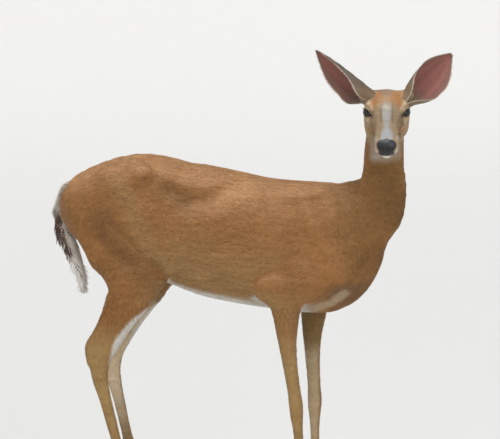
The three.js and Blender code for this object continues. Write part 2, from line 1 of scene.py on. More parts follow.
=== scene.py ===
"""A life-size white-tailed doe in summer coat: one skin, a coat of mesh tufts over it, eyes and hooves.

Everything is worked out in body millimetres, the measure the doe was built in: +X is the way the body
points, +Y her left, +Z up, and the floor is at zero. `Place` turns them into the frame's metres.
"""

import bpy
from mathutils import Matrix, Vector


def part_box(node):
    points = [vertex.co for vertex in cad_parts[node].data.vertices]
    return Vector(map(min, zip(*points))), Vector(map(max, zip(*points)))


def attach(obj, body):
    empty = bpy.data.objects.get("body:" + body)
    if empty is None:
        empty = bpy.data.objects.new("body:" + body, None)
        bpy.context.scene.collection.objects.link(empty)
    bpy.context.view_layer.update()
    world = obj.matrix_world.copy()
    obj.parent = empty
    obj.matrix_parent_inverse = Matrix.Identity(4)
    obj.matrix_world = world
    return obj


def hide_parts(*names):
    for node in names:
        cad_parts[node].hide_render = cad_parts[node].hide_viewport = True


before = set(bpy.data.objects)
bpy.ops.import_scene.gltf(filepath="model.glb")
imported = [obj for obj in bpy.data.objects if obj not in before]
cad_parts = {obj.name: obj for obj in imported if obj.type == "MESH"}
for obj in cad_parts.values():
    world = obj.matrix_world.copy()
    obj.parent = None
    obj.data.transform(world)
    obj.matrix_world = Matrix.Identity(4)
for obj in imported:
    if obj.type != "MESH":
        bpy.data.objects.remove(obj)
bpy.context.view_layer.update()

import logging
import math
from dataclasses import dataclass
from enum import Enum
from typing import Callable, NamedTuple, Sequence

import bmesh
import bpy
import numpy as np

logging.basicConfig(level=logging.INFO, format="%(message)s")
log = logging.getLogger("doe")

Array = np.ndarray
Field = Callable[[Array], Array]  # a value for each point, below zero inside a shape
Row = Sequence[float]
Colour = tuple[int, int, int]
Table = Sequence[Row]
Piece = bpy.types.Object
Dress = bpy.types.Material

MM = 0.001
SIDES = (1.0, -1.0)
SIDE_NAMES = {1.0: "left", -1.0: "right"}
HEAD_AT = np.array([502.0, -130.0, 1069.0])
HEAD_TURN, HEAD_NOD = math.radians(-75.4), math.radians(19.0)
EYE_RADIUS, EYE_OUT = 16.5, 45.0
BEHIND = 9.0  # the angle given to places behind an eye's centre
HIND_SHIFT = {1.0: -20.0, -1.0: 0.0}
FORE_SHIFT = {1.0: (40.0, -44.0), -1.0: (0.0, 0.0)}
ELBOW_HEIGHT = 560.0
RNG = np.random.default_rng(20)


# ------------ small sums on arrays of points


def unit(vectors: Array) -> Array:
    """Vectors scaled to length one."""
    return vectors / np.maximum(np.linalg.norm(vectors, axis=-1, keepdims=True), 1e-9)


def fade(values: Array, start: float, end: float) -> Array:
    """A smooth step from 0 at start to 1 at end; start may be the larger."""
    t = np.clip((values - start) / (end - start), 0.0, 1.0)
    return t * t * (3.0 - 2.0 * t)


def within(points: Array, centre: Row, radii: Row) -> Array:
    """1 at the middle of an egg, fading to 0 past its surface."""
    return fade(np.linalg.norm((points - np.asarray(centre)) / np.asarray(radii), axis=1), 1.25, 0.6)


def bell(away: Array, width: float) -> Array:
    """1 where `away` is 0, falling to nothing past the width."""
    return np.exp(-((away / width) ** 2))


def blend(base: Array, top: Array, mask: Array) -> Array:
    """One row of numbers for each point, turned into another as far as a mask says."""
    return base + (top - base) * mask[:, None]


def mirrored(local: Array) -> Array:
    """Points of the head's frame, brought to its left half."""
    return np.stack([local[:, 0], np.abs(local[:, 1]), local[:, 2]], axis=1)


def round_angles(count: int) -> Array:
    """Equal steps once round."""
    return np.linspace(0.0, 2.0 * math.pi, count, endpoint=False)


def rings(ups: Array, count: int) -> tuple[Array, Array]:
    """A height and an angle for each point of a stack of rings."""
    return np.meshgrid(ups, round_angles(count), indexing="ij")


def line_distance(points: Array, path: Table) -> Array:
    """How far each point is from a line of straight runs.

    Args:
        points: Places in body millimetres.
        path: The corners of the line.

    Returns:
        The distances.
    """
    best = np.full(len(points), 1e9)
    for a, b in zip(np.asarray(path[:-1], float), np.asarray(path[1:], float)):
        run = b - a
        t = np.clip((points - a) @ run / (run @ run), 0.0, 1.0)
        best = np.minimum(best, np.linalg.norm(points - a - t[:, None] * run, axis=1))
    return best


class Place:
    """Where body millimetres and the head's own frame lie in the CAD frame's metres."""

    def __init__(self) -> None:
        """Finds the doe by her two eyes."""
        boxes = [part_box("eye_" + name) for name in SIDE_NAMES.values()]
        eyes = [np.mean(np.array([list(corner) for corner in box]), axis=0) for box in boxes]
        self.shift = np.mean(eyes, axis=0) / MM - HEAD_AT
        self.shift[2] = 0.0
        cos_turn, sin_turn = math.cos(HEAD_TURN), math.sin(HEAD_TURN)
        cos_nod, sin_nod = math.cos(HEAD_NOD), math.sin(HEAD_NOD)
        turn = np.array([[cos_turn, -sin_turn, 0], [sin_turn, cos_turn, 0], [0, 0, 1]])
        nod = np.array([[cos_nod, 0, sin_nod], [0, 1, 0], [-sin_nod, 0, cos_nod]])
        self.head_axes = turn @ nod

    def metres(self, points: Array) -> Array:
        """Body millimetres to frame metres."""
        return (points + self.shift) * MM

    def millimetres(self, points: Array) -> Array:
        """Frame metres to body millimetres."""
        return points / MM - self.shift

    def to_head(self, points: Array) -> Array:
        """Body millimetres to the head's frame: +X along the muzzle, +Y her left, +Z out of the forehead."""
        return (points - HEAD_AT) @ self.head_axes

    def from_head(self, points: Array) -> Array:
        """The head's frame to body millimetres."""
        return np.asarray(points, float) @ self.head_axes.T + HEAD_AT

    def head_vector(self, vector: Row) -> Array:
        """A direction of the head's frame, in the body's."""
        return self.head_axes @ np.asarray(vector, float)


PLACE = Place()


# ------------ the fields of the flesh


@dataclass(frozen=True)
class Fold:
    """A ridge on both sides of the body, along a line seen from the side; a height below zero is a groove."""

    path: tuple[tuple[float, float], ...]
    width: float
    height: float

    def rise(self, points: Array) -> Array:
        """How far it lifts the skin."""
        away = line_distance(points[:, (0, 2)], self.path)
        return self.height * bell(away, self.width) * fade(np.abs(points[:, 1]), 22, 46)


FOLDS = (
    Fold(((-199, 917), (-167, 893), (-145, 864), (-108, 838)), 15, -3.2),  # in front of the hip bone
    Fold(((-102, 839), (-62, 819), (-11, 817), (35, 835), (72, 860)), 24, -6.5),  # hollow of the flank
    Fold(((-129, 878), (-58, 858), (13, 866)), 24, 3.0),  # edge of the loin
    Fold(((-51, 762), (49, 770)), 32, 3.2),  # swell below the hollow
    Fold(((-132, 805), (-123, 762), (-114, 697)), 15, -3.0),  # between flank and thigh
    Fold(((-258, 865), (-221, 817), (-187, 747), (-150, 682)), 38, 4.2),  # swell of the haunch
    Fold(((-279, 752), (-217, 699), (-151, 638)), 10, -5.0),  # hamstring groove
    Fold(((-308, 705), (-268, 665), (-228, 647)), 20, -4.0),  # soft hollow behind it
    Fold(((-395, 775), (-364, 702)), 24, 2.2),  # buttock
    Fold(((-170, 630), (-178, 616)), 18, 3.0),  # stifle
    Fold(((225, 837), (310, 850)), 16, 3.6),  # top of the shoulder blade
    Fold(((250, 834), (290, 760), (332, 690)), 13, 2.2),  # its spine
    Fold(((346, 878), (366, 799), (392, 732)), 12, -4.4),  # between shoulder and neck
    Fold(((303, 743), (320, 699)), 30, 3.2),  # swell of the shoulder
    Fold(((201, 732), (230, 659)), 30, 3.6),  # triceps
    Fold(((152, 813), (169, 718), (152, 630)), 14, -4.4),  # behind it
    Fold(((163, 597), (185, 619)), 18, 3.2),  # elbow
    Fold(((408, 650), (420, 661)), 12, -6.0),  # above the point of the shoulder
    Fold(((427, 673), (462, 660)), 10, -3.0),  # fold across the chest
    Fold(((413, 610), (431, 589)), 18, 3.0),  # brisket
    Fold(((322, 569), (370, 592), (404, 629)), 11, -5.0),  # between chest and upper arm
    Fold(((468, 968), (450, 880), (420, 800)), 15, -3.0),  # groove of the neck
    Fold(((236, 235), (243, 120)), 3.6, -1.6),  # tendons of the foreleg
    Fold(((-312, 285), (-284, 130)), 3.6, -1.6),  # tendons of the hind leg
    *(Fold(((88 - 30 * n, 800), (70 - 30 * n, 720), (84 - 30 * n, 610)), 8, 0.9) for n in range(5)),  # ribs
)


def egg_distance(a: Array, b: Array, c: Array, ra: Array, rb: Array, rc: Array) -> Array:
    """About the distance to an egg with half axes ra, rb and rc, from offsets along them.

    Args:
        a: Offsets along the first axis.
        b: Along the second.
        c: Along the third.
        ra: The first half axis.
        rb: The second.
        rc: The third.

    Returns:
        The distances, below zero inside.
    """
    k0 = np.sqrt((a / ra) ** 2 + (b / rb) ** 2 + (c / rc) ** 2)
    k1 = np.sqrt((a / ra**2) ** 2 + (b / rb**2) ** 2 + (c / rc**2) ** 2)
    return k0 * (k0 - 1.0) / np.maximum(k1, 1e-9)


def egg(centre: Row, radii: Row) -> Field:
    """A field for one egg."""
    return lambda p: egg_distance(*(p - np.asarray(centre)).T, *np.asarray(radii, float))


def smooth_rows(rows: Array, steps: int) -> Array:
    """Rows of numbers on a smooth curve, with `steps` rows for each one given.

    Args:
        rows: The rows that the curve runs through.
        steps: How many rows to make of each.

    Returns:
        The rows.
    """
    last = len(rows) - 1
    out = []
    for i in range(last):
        p0, p1, p2, p3 = (rows[n] for n in (max(i - 1, 0), i, i + 1, min(i + 2, last)))
        for j in range(steps):
            t = j / steps
            bend = 2 * p0 - 5 * p1 + 4 * p2 - p3 + t * (3 * (p1 - p2) + p3 - p0)
            out.append(p1 + 0.5 * t * (p2 - p0 + t * bend))
    return np.array(out + [rows[last]])


@dataclass
class Limb:
    """A limb or muscle: egg-shaped sections along a curve.

    Each station is x, y, z, half width along `lateral`, and the half depths over and under.
    """

    stations: Table
    lateral: Row = (0, 1, 0)
    steps: int = 3
    far: float = 60.0

    def __post_init__(self) -> None:
        """Works out the links between stations."""
        full = [list(row) + [row[4]] * (6 - len(row)) for row in self.stations]
        rows = smooth_rows(np.array(full, float), self.steps)
        widest = rows[:, 3:].max(axis=1, keepdims=True)
        self.low, self.high = (rows[:, :3] - widest).min(axis=0), (rows[:, :3] + widest).max(axis=0)
        self.rows = rows
        runs = rows[1:, :3] - rows[:-1, :3]
        self.lengths = np.linalg.norm(runs, axis=1)
        self.axes = runs / self.lengths[:, None]
        self.overs = unit(np.cross(self.axes, np.asarray(self.lateral, float)))
        self.sides = np.cross(self.overs, self.axes)

    def __call__(self, points: Array) -> Array:
        """The field at each point.

        Args:
            points: Places in body millimetres.

        Returns:
            The values.
        """
        out = np.maximum(self.low - points, points - self.high).max(axis=1)
        near = out < self.far
        q = points[near]
        best = np.full(len(q), 1e9)
        for i, length in enumerate(self.lengths):
            d = q - self.rows[i, :3]
            along = d @ self.axes[i]
            t = np.clip(along / length, 0.0, 1.0)
            deep = d @ self.overs[i]
            start, end = self.rows[i, 3:], self.rows[i + 1, 3:]
            width = start[0] + (end[0] - start[0]) * t
            over = start[1] + (end[1] - start[1]) * t
            under = start[2] + (end[2] - start[2]) * t
            depth = np.where(deep > 0, over, under)
            least = np.minimum(width, depth)
            link = egg_distance(d @ self.sides[i], deep, along - t * length, width, depth, least)
            best = np.minimum(best, link)
        out[near] = best
        return out


def smooth_min(a: Array, b: Array, k: float) -> Array:
    """The smaller of two fields, blended over k."""
    h = np.maximum(k - np.abs(a - b), 0.0) / k
    return np.minimum(a, b) - h * h * k / 4.0


def melt(k: float, *fields: Field) -> Field:
    """The soft union of fields.

    Args:
        k: How wide the blend is.
        fields: The fields.

    Returns:
        Their union.
    """

    def melted(points: Array) -> Array:
        """The value of the union.

        Args:
            points: Places in body millimetres.

        Returns:
            The values.
        """
        total = fields[0](points)
        for other in fields[1:]:
            total = smooth_min(total, other(points), k)
        return total

    return melted


def hollowed(body: Field, k: float, *tools: Field) -> Field:
    """A field with soft hollows pressed into it.

    Args:
        body: The field that is pressed.
        k: How wide the blend is.
        tools: The fields that press it.

    Returns:
        The field.
    """

    def pressed(points: Array) -> Array:
        """The value of what is left.

        Args:
            points: Places in body millimetres.

        Returns:
            The values.
        """
        total = body(points)
        for tool in tools:
            total = -smooth_min(-total, tool(points), k)
        return total

    return pressed


def on_side(rows: Table, s: float, shift: Callable[[float], float] = lambda z: 0.0) -> list[list[float]]:
    """Stations of a paired limb, put on one side of the body."""
    return [[x + shift(z), y * s, z, *radii] for x, y, z, *radii in rows]


def both(make: Callable[[float], Field]) -> list[Field]:
    """One field for each side of the body."""
    return [make(s) for s in SIDES]


def pair(rows: Table, lateral: Row = (0, 1, 0)) -> list[Field]:
    """The same limb on each side."""
    return [Limb(on_side(rows, s), lateral) for s in SIDES]


def eggs(centre: Row, radii: Row) -> list[Field]:
    """The same egg on each side."""
    return [egg((centre[0], s * centre[1], centre[2]), radii) for s in SIDES]


@dataclass
class Flesh:
    """The muscles and bones of the doe, melted into one field, and her tail."""

    trunk: Table = (
        (-416, 806, 36, 832, 772), (-394, 803, 66, 862, 722), (-365, 795, 90, 892, 680),
        (-310, 790, 100, 919, 655), (-250, 786, 103, 938, 634), (-195, 776, 101, 938, 612),
        (-140, 758, 101, 926, 592), (-80, 736, 107, 917, 568), (-20, 722, 113, 906, 547),
        (50, 712, 116, 894, 534), (120, 706, 113, 881, 525), (190, 700, 105, 875, 518),
        (255, 694, 97, 873, 513), (315, 690, 89, 868, 515), (352, 684, 80, 866, 522),
        (386, 676, 64, 800, 536), (410, 668, 48, 730, 550), (426, 662, 24, 690, 572),
    )  # x, height of the widest place, half width, top, bottom
    neck: Table = (
        (330, 0, 690, 66, 120, 86), (378, 0, 746, 66, 104, 86), (424, -3, 806, 62, 79, 97),
        (453, -9, 856, 56, 60, 76), (465, -20, 908, 53, 57, 58), (472, -34, 958, 52, 57, 53),
        (480, -52, 1008, 52, 53, 49), (487, -66, 1050, 46, 44, 40),
    )
    tail: Table = (
        (-396, 0, 838, 30, 18), (-422, 0, 824, 29, 20), (-446, 0, 792, 31, 21), (-460, 0, 752, 36, 22),
        (-446, 0, 702, 38, 22), (-425, 0, 650, 34, 22), (-405, 0, 598, 24, 16), (-398, 0, 556, 13, 9),
        (-399, 0, 522, 6, 5),
    )
    shoulder_blade: Table = (
        (298, 40, 826, 30, 40, 40), (330, 54, 770, 38, 60, 66), (358, 60, 690, 36, 56, 62),
        (368, 61, 628, 32, 50, 52),
    )
    upper_arm: Table = ((352, 66, 640, 34, 52), (285, 72, 612, 37, 58), (218, 76, 578, 32, 48))
    foreleg: Table = (
        (206, 78, 585, 33, 52, 54), (209, 73, 520, 27, 40, 40), (212, 69, 450, 21, 27, 29),
        (219, 66, 380, 17.5, 21, 22), (229, 64, 310, 17, 18.5, 19), (234, 63, 268, 19.5, 20.5, 19.5),
        (237, 62, 235, 17.5, 17.5, 18.5), (240, 62, 200, 13.5, 14, 14.5), (246, 61, 140, 12.5, 13, 14),
        (250, 61, 104, 16.5, 16, 18.5), (255, 61, 84, 17.5, 15.5, 19), (272, 61, 52, 15.5, 14, 14.5),
        (281, 61, 34, 19, 19, 18), (285, 61, 22, 19, 20, 18),
    )
    thigh: Table = (
        (-250, 46, 850, 48, 78), (-262, 58, 780, 54, 100), (-252, 66, 710, 50, 106),
        (-232, 72, 645, 42, 104, 98), (-218, 74, 592, 36, 86, 80),
    )
    buttock: Table = ((-372, 42, 800, 36, 44), (-352, 56, 730, 36, 44), (-318, 66, 655, 34, 38))
    hind_leg: Table = (
        (-216, 74, 610, 38, 84, 76), (-226, 76, 560, 34, 66, 62), (-243, 78, 515, 28, 46, 46),
        (-266, 79, 468, 24, 34, 36), (-292, 80, 420, 20, 29, 28), (-314, 80, 382, 21, 29, 27),
        (-322, 80, 350, 20, 28, 27), (-319, 79, 315, 16.5, 23, 23), (-306, 78, 265, 14, 18, 18),
        (-290, 76, 205, 13, 16, 16.5), (-275, 74, 145, 13, 15, 16), (-265, 73, 106, 17, 17, 20),
        (-259, 73, 86, 18, 16.5, 20), (-241, 73, 52, 15.5, 14, 15), (-231, 73, 34, 19, 19, 18),
        (-227, 73, 22, 19, 20, 18),
    )
    heel_cord: Table = (
        (-284, 76, 545, 17, 20), (-301, 79, 490, 14, 19, 20), (-322, 80, 445, 13, 18, 20),
        (-343, 80, 406, 14, 20, 22), (-338, 80, 366, 15, 20, 21),
    )
    hip_bone: Table = ((-222, 52, 902, 26, 24), (-188, 74, 884, 22, 22))
    muzzle: Table = (
        (18, 0, -14, 40, 36, 46), (55, 0, -24, 33.5, 31, 40), (92, 0, -33, 28.5, 26, 32),
        (124, 0, -39, 27, 23, 24), (140, 0, -41, 27, 21, 20),
    )
    nasal_bones: Table = ((0, 0, 24, 26, 15), (45, 0, 10, 17, 13), (95, 0, -8, 14, 11), (134, 0, -22, 16, 9))
    lower_jaw: Table = (
        (-34, 0, -58, 27, 19), (28, 0, -67, 19, 16), (78, 0, -68, 17, 13), (116, 0, -68, 16, 12),
        (130, 0, -66, 14, 11),
    )
    cheekbone: Table = ((34, 32, -22, 11, 13), (-2, 43, -24, 13, 14), (-40, 46, -14, 12, 15))
    ear_base: Table = ((-46, 28, 14, 27, 25), (-52, 52, 22, 24, 22))
    tail_hair: float = 9.0
    head_centre: Row = (20, 0, -10)
    head_reach: float = 190.0
    head_margin: float = 60.0  # past it the head's field is a plain distance

    def __post_init__(self) -> None:
        """Melts the parts together."""
        trunk = melt(34, self.barrel(), *both(self.shoulder), *both(self.haunch))
        body = melt(40, trunk, Limb(self.neck))
        self.body: Field = melt(26, body, self.head(), *both(self.fore), *both(self.hind))
        self.tail_field: Field = Limb(self.tail)

    def barrel(self) -> Field:
        """The ribs, loin and rump, with hip bones and the hollow of each flank.

        Returns:
            The field.
        """
        sections = [(x, 0, z, half, top - z, z - bottom) for x, z, half, top, bottom in self.trunk]
        body = melt(40, Limb(sections, steps=2), *pair(self.hip_bone))
        return hollowed(body, 34, *eggs((-55, 150, 814), (85, 42, 44)))

    def shoulder(self, s: float) -> Field:
        """A shoulder blade, upper arm and elbow."""
        elbow = egg((163, s * 82, 572), (34, 20, 26))
        return melt(30, Limb(on_side(self.shoulder_blade, s)), Limb(on_side(self.upper_arm, s)), elbow)

    def haunch(self, s: float) -> Field:
        """A thigh and buttock."""
        return melt(30, Limb(on_side(self.thigh, s)), Limb(on_side(self.buttock, s)))

    def fore(self, s: float) -> Field:
        """A foreleg."""
        shift, lean = FORE_SHIFT[s]
        return Limb(on_side(self.foreleg, s, lambda z: shift + lean * (1 - z / ELBOW_HEIGHT)))

    def hind(self, s: float) -> Field:
        """A hind leg with its heel cord."""
        parts = (self.hind_leg, self.heel_cord)
        return melt(14, *(Limb(on_side(rows, s, lambda z: HIND_SHIFT[s])) for rows in parts))

    def head(self) -> Field:
        """The skull, jaw muscles, nose and lips, in the head's frame.

        Returns:
            The field, in body millimetres.
        """
        skull = melt(
            16, egg((-44, 0, 3), (56, 45, 42)), egg((-8, 0, 13), (46, 41, 28)),
            *eggs((-6, 43, 5), (27, 18, 23)), Limb(self.muzzle), Limb(self.nasal_bones),
            *pair(self.cheekbone), *eggs((-26, 41, -42), (44, 19, 36)),
            *pair(self.ear_base, lateral=(1, 0, 0)),
        )
        lips = melt(
            9, egg((146, 0, -33), (15, 23, 17)), *eggs((142, 18, -35), (15, 10, 13)),
            egg((136, 0, -51), (19, 26, 13)), Limb(self.lower_jaw),
        )
        whole = melt(12, skull, lips)
        return lambda p: self._near_head(p, whole)

    def _near_head(self, points: Array, whole: Field) -> Array:
        """The head's field, and a plain distance far from the head.

        Args:
            points: Places in body millimetres.
            whole: The head's own field.

        Returns:
            The values.
        """
        out = np.linalg.norm(points - PLACE.from_head(self.head_centre), axis=1) - self.head_reach
        near = out < self.head_margin
        out[near] = whole(PLACE.to_head(points[near]))
        return out

    def depth(self, points: Array) -> Array:
        """How deep the skin lies under the tips of the coat.

        Args:
            points: Places in body millimetres.

        Returns:
            The depths.
        """
        local = PLACE.to_head(points)
        depth = 4.6 - 2.3 * fade(points[:, 2], 560, 430) - 0.8 * fade(points[:, 2], 120, 60)
        on_head = fade(local[:, 0], -85, -30) * fade(np.linalg.norm(local, axis=1), 230, 200)
        depth = depth + (1.9 - depth) * on_head
        return depth * (1.0 - 0.9 * fade(local[:, 0], 128, 140) * on_head)

    def tail_skin(self, points: Array) -> Array:
        """The field of the tail under its long hair."""
        return self.tail_field(points) + self.tail_hair

    @staticmethod
    def folds(points: Array) -> Array:
        """How far muscles and bones lift the skin."""
        return sum(fold.rise(points) for fold in FOLDS)

    def skin(self, points: Array) -> Array:
        """The field whose surface is the skin."""
        body = self.body(points) + self.depth(points) - self.folds(points)
        return smooth_min(body, self.tail_skin(points), 14.0)

    def slope(self, points: Array, step: float = 0.6) -> tuple[Array, Array]:
        """The skin's field and its gradient.

        Args:
            points: Places in body millimetres.
            step: How far off the field is read.

        Returns:
            The values and the gradients.
        """
        value = self.skin(points)
        grads = [(self.skin(points + step * axis) - value) / step for axis in np.eye(3)]
        return value, np.stack(grads, axis=1)

    def settle(self, points: Array, rounds: int, reach: float = 6.0) -> Array:
        """Moves points onto the skin's surface, by at most `reach` each round.

        Args:
            points: Places in body millimetres.
            rounds: How many times.
            reach: The furthest a point may move in a round.

        Returns:
            The points, moved.
        """
        for _ in range(rounds):
            value, slope = self.slope(points)
            move = -slope * (value / np.maximum((slope**2).sum(axis=1), 0.05))[:, None]
            size = np.linalg.norm(move, axis=1, keepdims=True)
            points = points + move * np.minimum(1.0, reach / np.maximum(size, 1e-9))
        return points


FLESH = Flesh()


# ------------ the eye openings, shared by skin, lids and colours


@dataclass(frozen=True)
class EyeOpening:
    """The almond between the lids of one eye, measured by angles round the eyeball."""

    s: float
    half_long: float = 1.06
    half_high: float = 0.55
    high_power: float = 1.25
    long_power: float = 2.1
    lid_rise: float = 1.3

    @property
    def centre(self) -> Array:
        """The middle of the eyeball, in the head's frame."""
        return np.array([0.0, self.s * EYE_OUT, 0.0])

    def axes(self) -> Array:
        """Rows: out of the eye, towards its front corner, and up.

        Returns:
            The three rows.
        """
        out = unit(np.array([0.72, 0.69 * self.s, 0.15]))
        front = np.array([0.72, -0.66 * self.s, -0.22])
        front = unit(front - (front @ out) * out)
        return np.array([out, front, np.cross(out, front) * -self.s])

    def angles(self, local: Array) -> tuple[Array, Array, Array]:
        """Angles along and across the opening, and the distance from the eye's centre.

        Args:
            local: Places in the head's frame.

        Returns:
            The three rows of numbers.
        """
        d = local - self.centre
        out, along, up = (d @ axis for axis in self.axes())
        ahead = np.maximum(out, 1e-3)
        along, up = (np.where(out <= 1e-3, BEHIND, np.arctan2(side, ahead)) for side in (along, up))
        return along, up, np.linalg.norm(d, axis=1)

    def spread(self, local: Array) -> Array:
        """1 on the edge of the lids, less inside the opening and more outside it.

        Args:
            local: Places in the head's frame.

        Returns:
            The numbers.
        """
        along, up, _ = self.angles(local)
        high = (np.abs(up) / self.half_high) ** self.high_power
        return high + np.abs(along / self.half_long) ** self.long_power

    def outline(self, turn: Array) -> tuple[Array, Array]:
        """Angles of the edge of the lids, once round.

        Args:
            turn: The way round it, in radians.

        Returns:
            The angles along and across.
        """
        along = self.half_long * np.cos(turn)
        up = self.half_high * (1.0 - np.abs(np.cos(turn)) ** self.long_power) ** (1.0 / self.high_power)
        return along, up * np.sign(np.sin(turn))

    def directions(self, along: Array, up: Array) -> Array:
        """Unit vectors for angles round the eye."""
        out, front, above = self.axes()
        return unit(out + np.tan(along)[:, None] * front + np.tan(up)[:, None] * above)


OPENINGS = {s: EyeOpening(s) for s in SIDES}


# ------------ markings, with painted light and shade, shared by skin and coat


def tint(red: int, green: int, blue: int) -> Array:
    """An eight-bit display colour as linear light."""
    c = np.array([red, green, blue]) / 255.0
    return np.where(c <= 0.04045, c / 12.92, ((c + 0.055) / 1.055) ** 2.4)


class Palette(NamedTuple):
    """The colours of the doe's summer coat and bare skin; some are laid as painted light and painted shade.
    """

    russet: Array = tint(146, 102, 56)
    # paler back: partly the coat's own tone, partly painted light from above
    back: Array = tint(178, 134, 92)
    rump: Array = tint(140, 97, 50)
    # dark brown, laid only as painted shade in the hamstring groove and under the edge of the loin
    thigh: Array = tint(110, 76, 38)
    tan: Array = tint(158, 126, 82)
    # the neck's brown: partly its own colour, partly darkened as painted shade
    neck: Array = tint(121, 87, 43)
    orange: Array = tint(176, 122, 74)
    leg: Array = tint(164, 136, 88)
    cream: Array = tint(206, 186, 156)
    white: Array = tint(222, 219, 212)
    ear_grey: Array = tint(122, 112, 100)
    ear_pink: Array = tint(142, 94, 88)
    rim: Array = tint(196, 186, 168)
    umber: Array = tint(84, 58, 40)
    nose_top_highlight: Array = tint(58, 62, 68)
    # painted highlight: paler grey for the top of the nose pad
    dun: Array = tint(168, 146, 116)
    taupe: Array = tint(150, 128, 112)
    cheek: Array = tint(134, 114, 88)
    bridge: Array = tint(158, 163, 168)
    brisket_shade: Array = tint(116, 84, 52)
    # painted shade for the downward-facing front of the chest
    black: Array = tint(24, 22, 24)


PALETTE = Palette()


class MarkingsAndShade:
    """Paints points of the skin, and the roots of tufts, from where they lie and which way they face: the
    doe's own markings, and painted light and shade.
    """

    tail_half = 13.0

    def __init__(self, points: Array, normals: Array) -> None:
        """Starts from the plain russet of the flanks.

        Args:
            points: Places in body millimetres.
            normals: The way each faces.
        """
        self.p, self.n = points, normals
        self.h, self.hn = PLACE.to_head(points), normals @ PLACE.head_axes
        self.colour = np.tile(PALETTE.russet, (len(points), 1))

    def lay(self, colour: Array, mask: Array) -> None:
        """Lays a colour over what is there."""
        self.colour = blend(self.colour, colour, np.clip(mask, 0.0, 1.0))

    def paint(self) -> Array:
        """All the markings and the painted light and shade, from the widest to the finest.

        Returns:
            The colours, in linear light.
        """
        on_head = fade(self.h[:, 0], -95, -60) * fade(np.linalg.norm(self.h, axis=1), 250, 215)
        on_head = on_head * fade(self.h[:, 2], -112, -86)
        self.body()
        self.legs()
        self.neck()
        before = self.colour
        self.face()
        return blend(before, self.colour, on_head)

    def body(self) -> None:
        """Back, flanks, rump, belly and tail, with painted light on the back, the haunch's swell and the
        tail's white, and painted shade in the hollows of flank and thigh and under the chest.
        """
        x, y, z = self.p.T
        nx, _, nz = self.n.T
        # paler coat where it faces up: partly its own tone, partly painted light from above
        self.lay(PALETTE.back, 0.95 * fade(nz, 0.1, 0.75))
        low = fade(-nz, -0.15, 0.4) * fade(x, 330, 180) * fade(x, -230, -120)
        self.lay(PALETTE.tan, 0.7 * low)
        along = self.p[:, (0, 2)]
        self.lay(PALETTE.rump, 0.9 * fade(x, -190, -330) * fade(nz, 0.9, 0.2))
        # painted shade: dark brown along the hamstring groove and the hollow behind it
        hollow = line_distance(along, ((-300, 760), (-235, 690), (-170, 625)))
        self.lay(PALETTE.thigh, 0.6 * fade(hollow, 64, 6) * fade(np.abs(y), 30, 60))
        # painted highlight: tan along the swell of the haunch
        front = line_distance(along, ((-258, 865), (-221, 817), (-187, 747), (-150, 682)))
        self.lay(PALETTE.tan, 0.4 * fade(front, 42, 8) * fade(np.abs(y), 30, 60))
        # painted shade: dark brown in the hollow of the flank, under the edge of the loin
        loin = line_distance(along, ((-128, 850), (-98, 834), (-62, 819)))
        self.lay(PALETTE.thigh, 0.5 * fade(loin, 44, 4))
        # painted shade on the downward-facing front of the chest
        self.lay(PALETTE.brisket_shade, 0.8 * fade(-nz, 0.2, 0.6) * fade(x, 300, 360) * fade(z, 640, 600))
        belly = fade(-nz, 0.66, 0.86) * fade(x, 300, 240) * fade(x, -400, -330) * fade(z, 690, 640)
        self.lay(PALETTE.white * 0.85, belly)
        armpit = fade(line_distance(along, ((283, 535), (338, 561), (378, 588))), 13, 5)
        self.lay(PALETTE.cream * 0.72, 0.7 * armpit * fade(nz, 0.3, 0) * fade(np.abs(y), 74, 56))
        rear = np.interp(z, (600, 640, 700, 740), (-330, -360, -388, -398))
        beside_tail = fade(np.abs(y), 44, 30) * fade(x - rear, 0, -10) * fade(z, 560, 600)
        beside_tail = beside_tail * fade(z, 812, 790)
        fringe = fade(-nx, 0.8, 0.97) * fade(x, -300, -330) * fade(z, 580, 640) * fade(z, 760, 700)
        self.lay(PALETTE.cream * 0.9, 0.4 * fringe)
        self.lay(PALETTE.white, 0.95 * beside_tail)
        on_tail = fade(FLESH.tail_skin(self.p), 10, 2) * fade(x + 0.25 * (z - 800), -385, -418)
        line = np.array([(row[2], row[0]) for row in reversed(FLESH.tail)], float)
        taper = np.interp(z, (600, 640, 700, 760), (-0.5, -0.1, 0.4, 0.6))
        behind = fade((x - np.interp(z, line[:, 0], line[:, 1])) / self.tail_half - taper, 0.3, -0.3)
        # the tail's own white, made brighter than the body's white as painted light
        self.lay(PALETTE.white * 1.12, on_tail)
        dark = behind * on_tail * fade(z, 600, 660)
        self.lay(PALETTE.rump, dark)
        self.lay(PALETTE.umber * 0.5, dark * fade(z, 815, 780))
        self.lay(PALETTE.white, on_tail * fade(nz, 0.1, 0.5) * fade(x, -418, -430))
        above_tail = tail_root(self.p) * fade(nz, -0.3, 0.2)
        self.lay(PALETTE.white, 0.9 * above_tail)

    def legs(self) -> None:
        """Pale insides and fronts, tan below, and painted shade on the inner sides of the hind legs and
        forearms.
        """
        x, y, z = self.p.T
        nx, ny, _ = self.n.T
        inner = -ny * np.sign(y)
        hind, fore = x < -60.0, x > 60.0
        self.lay(PALETTE.leg, 0.8 * fade(z, 500, 400))
        shift = np.where(y > 0, HIND_SHIFT[1.0], HIND_SHIFT[-1.0])
        edge = np.interp(z, (309, 363, 418, 440, 496, 536), (-295, -293, -278, -267, -221, -170))
        ahead = fade(x - shift - edge, -4, 5) * fade(z, 556, 522) * fade(z, 290, 320)
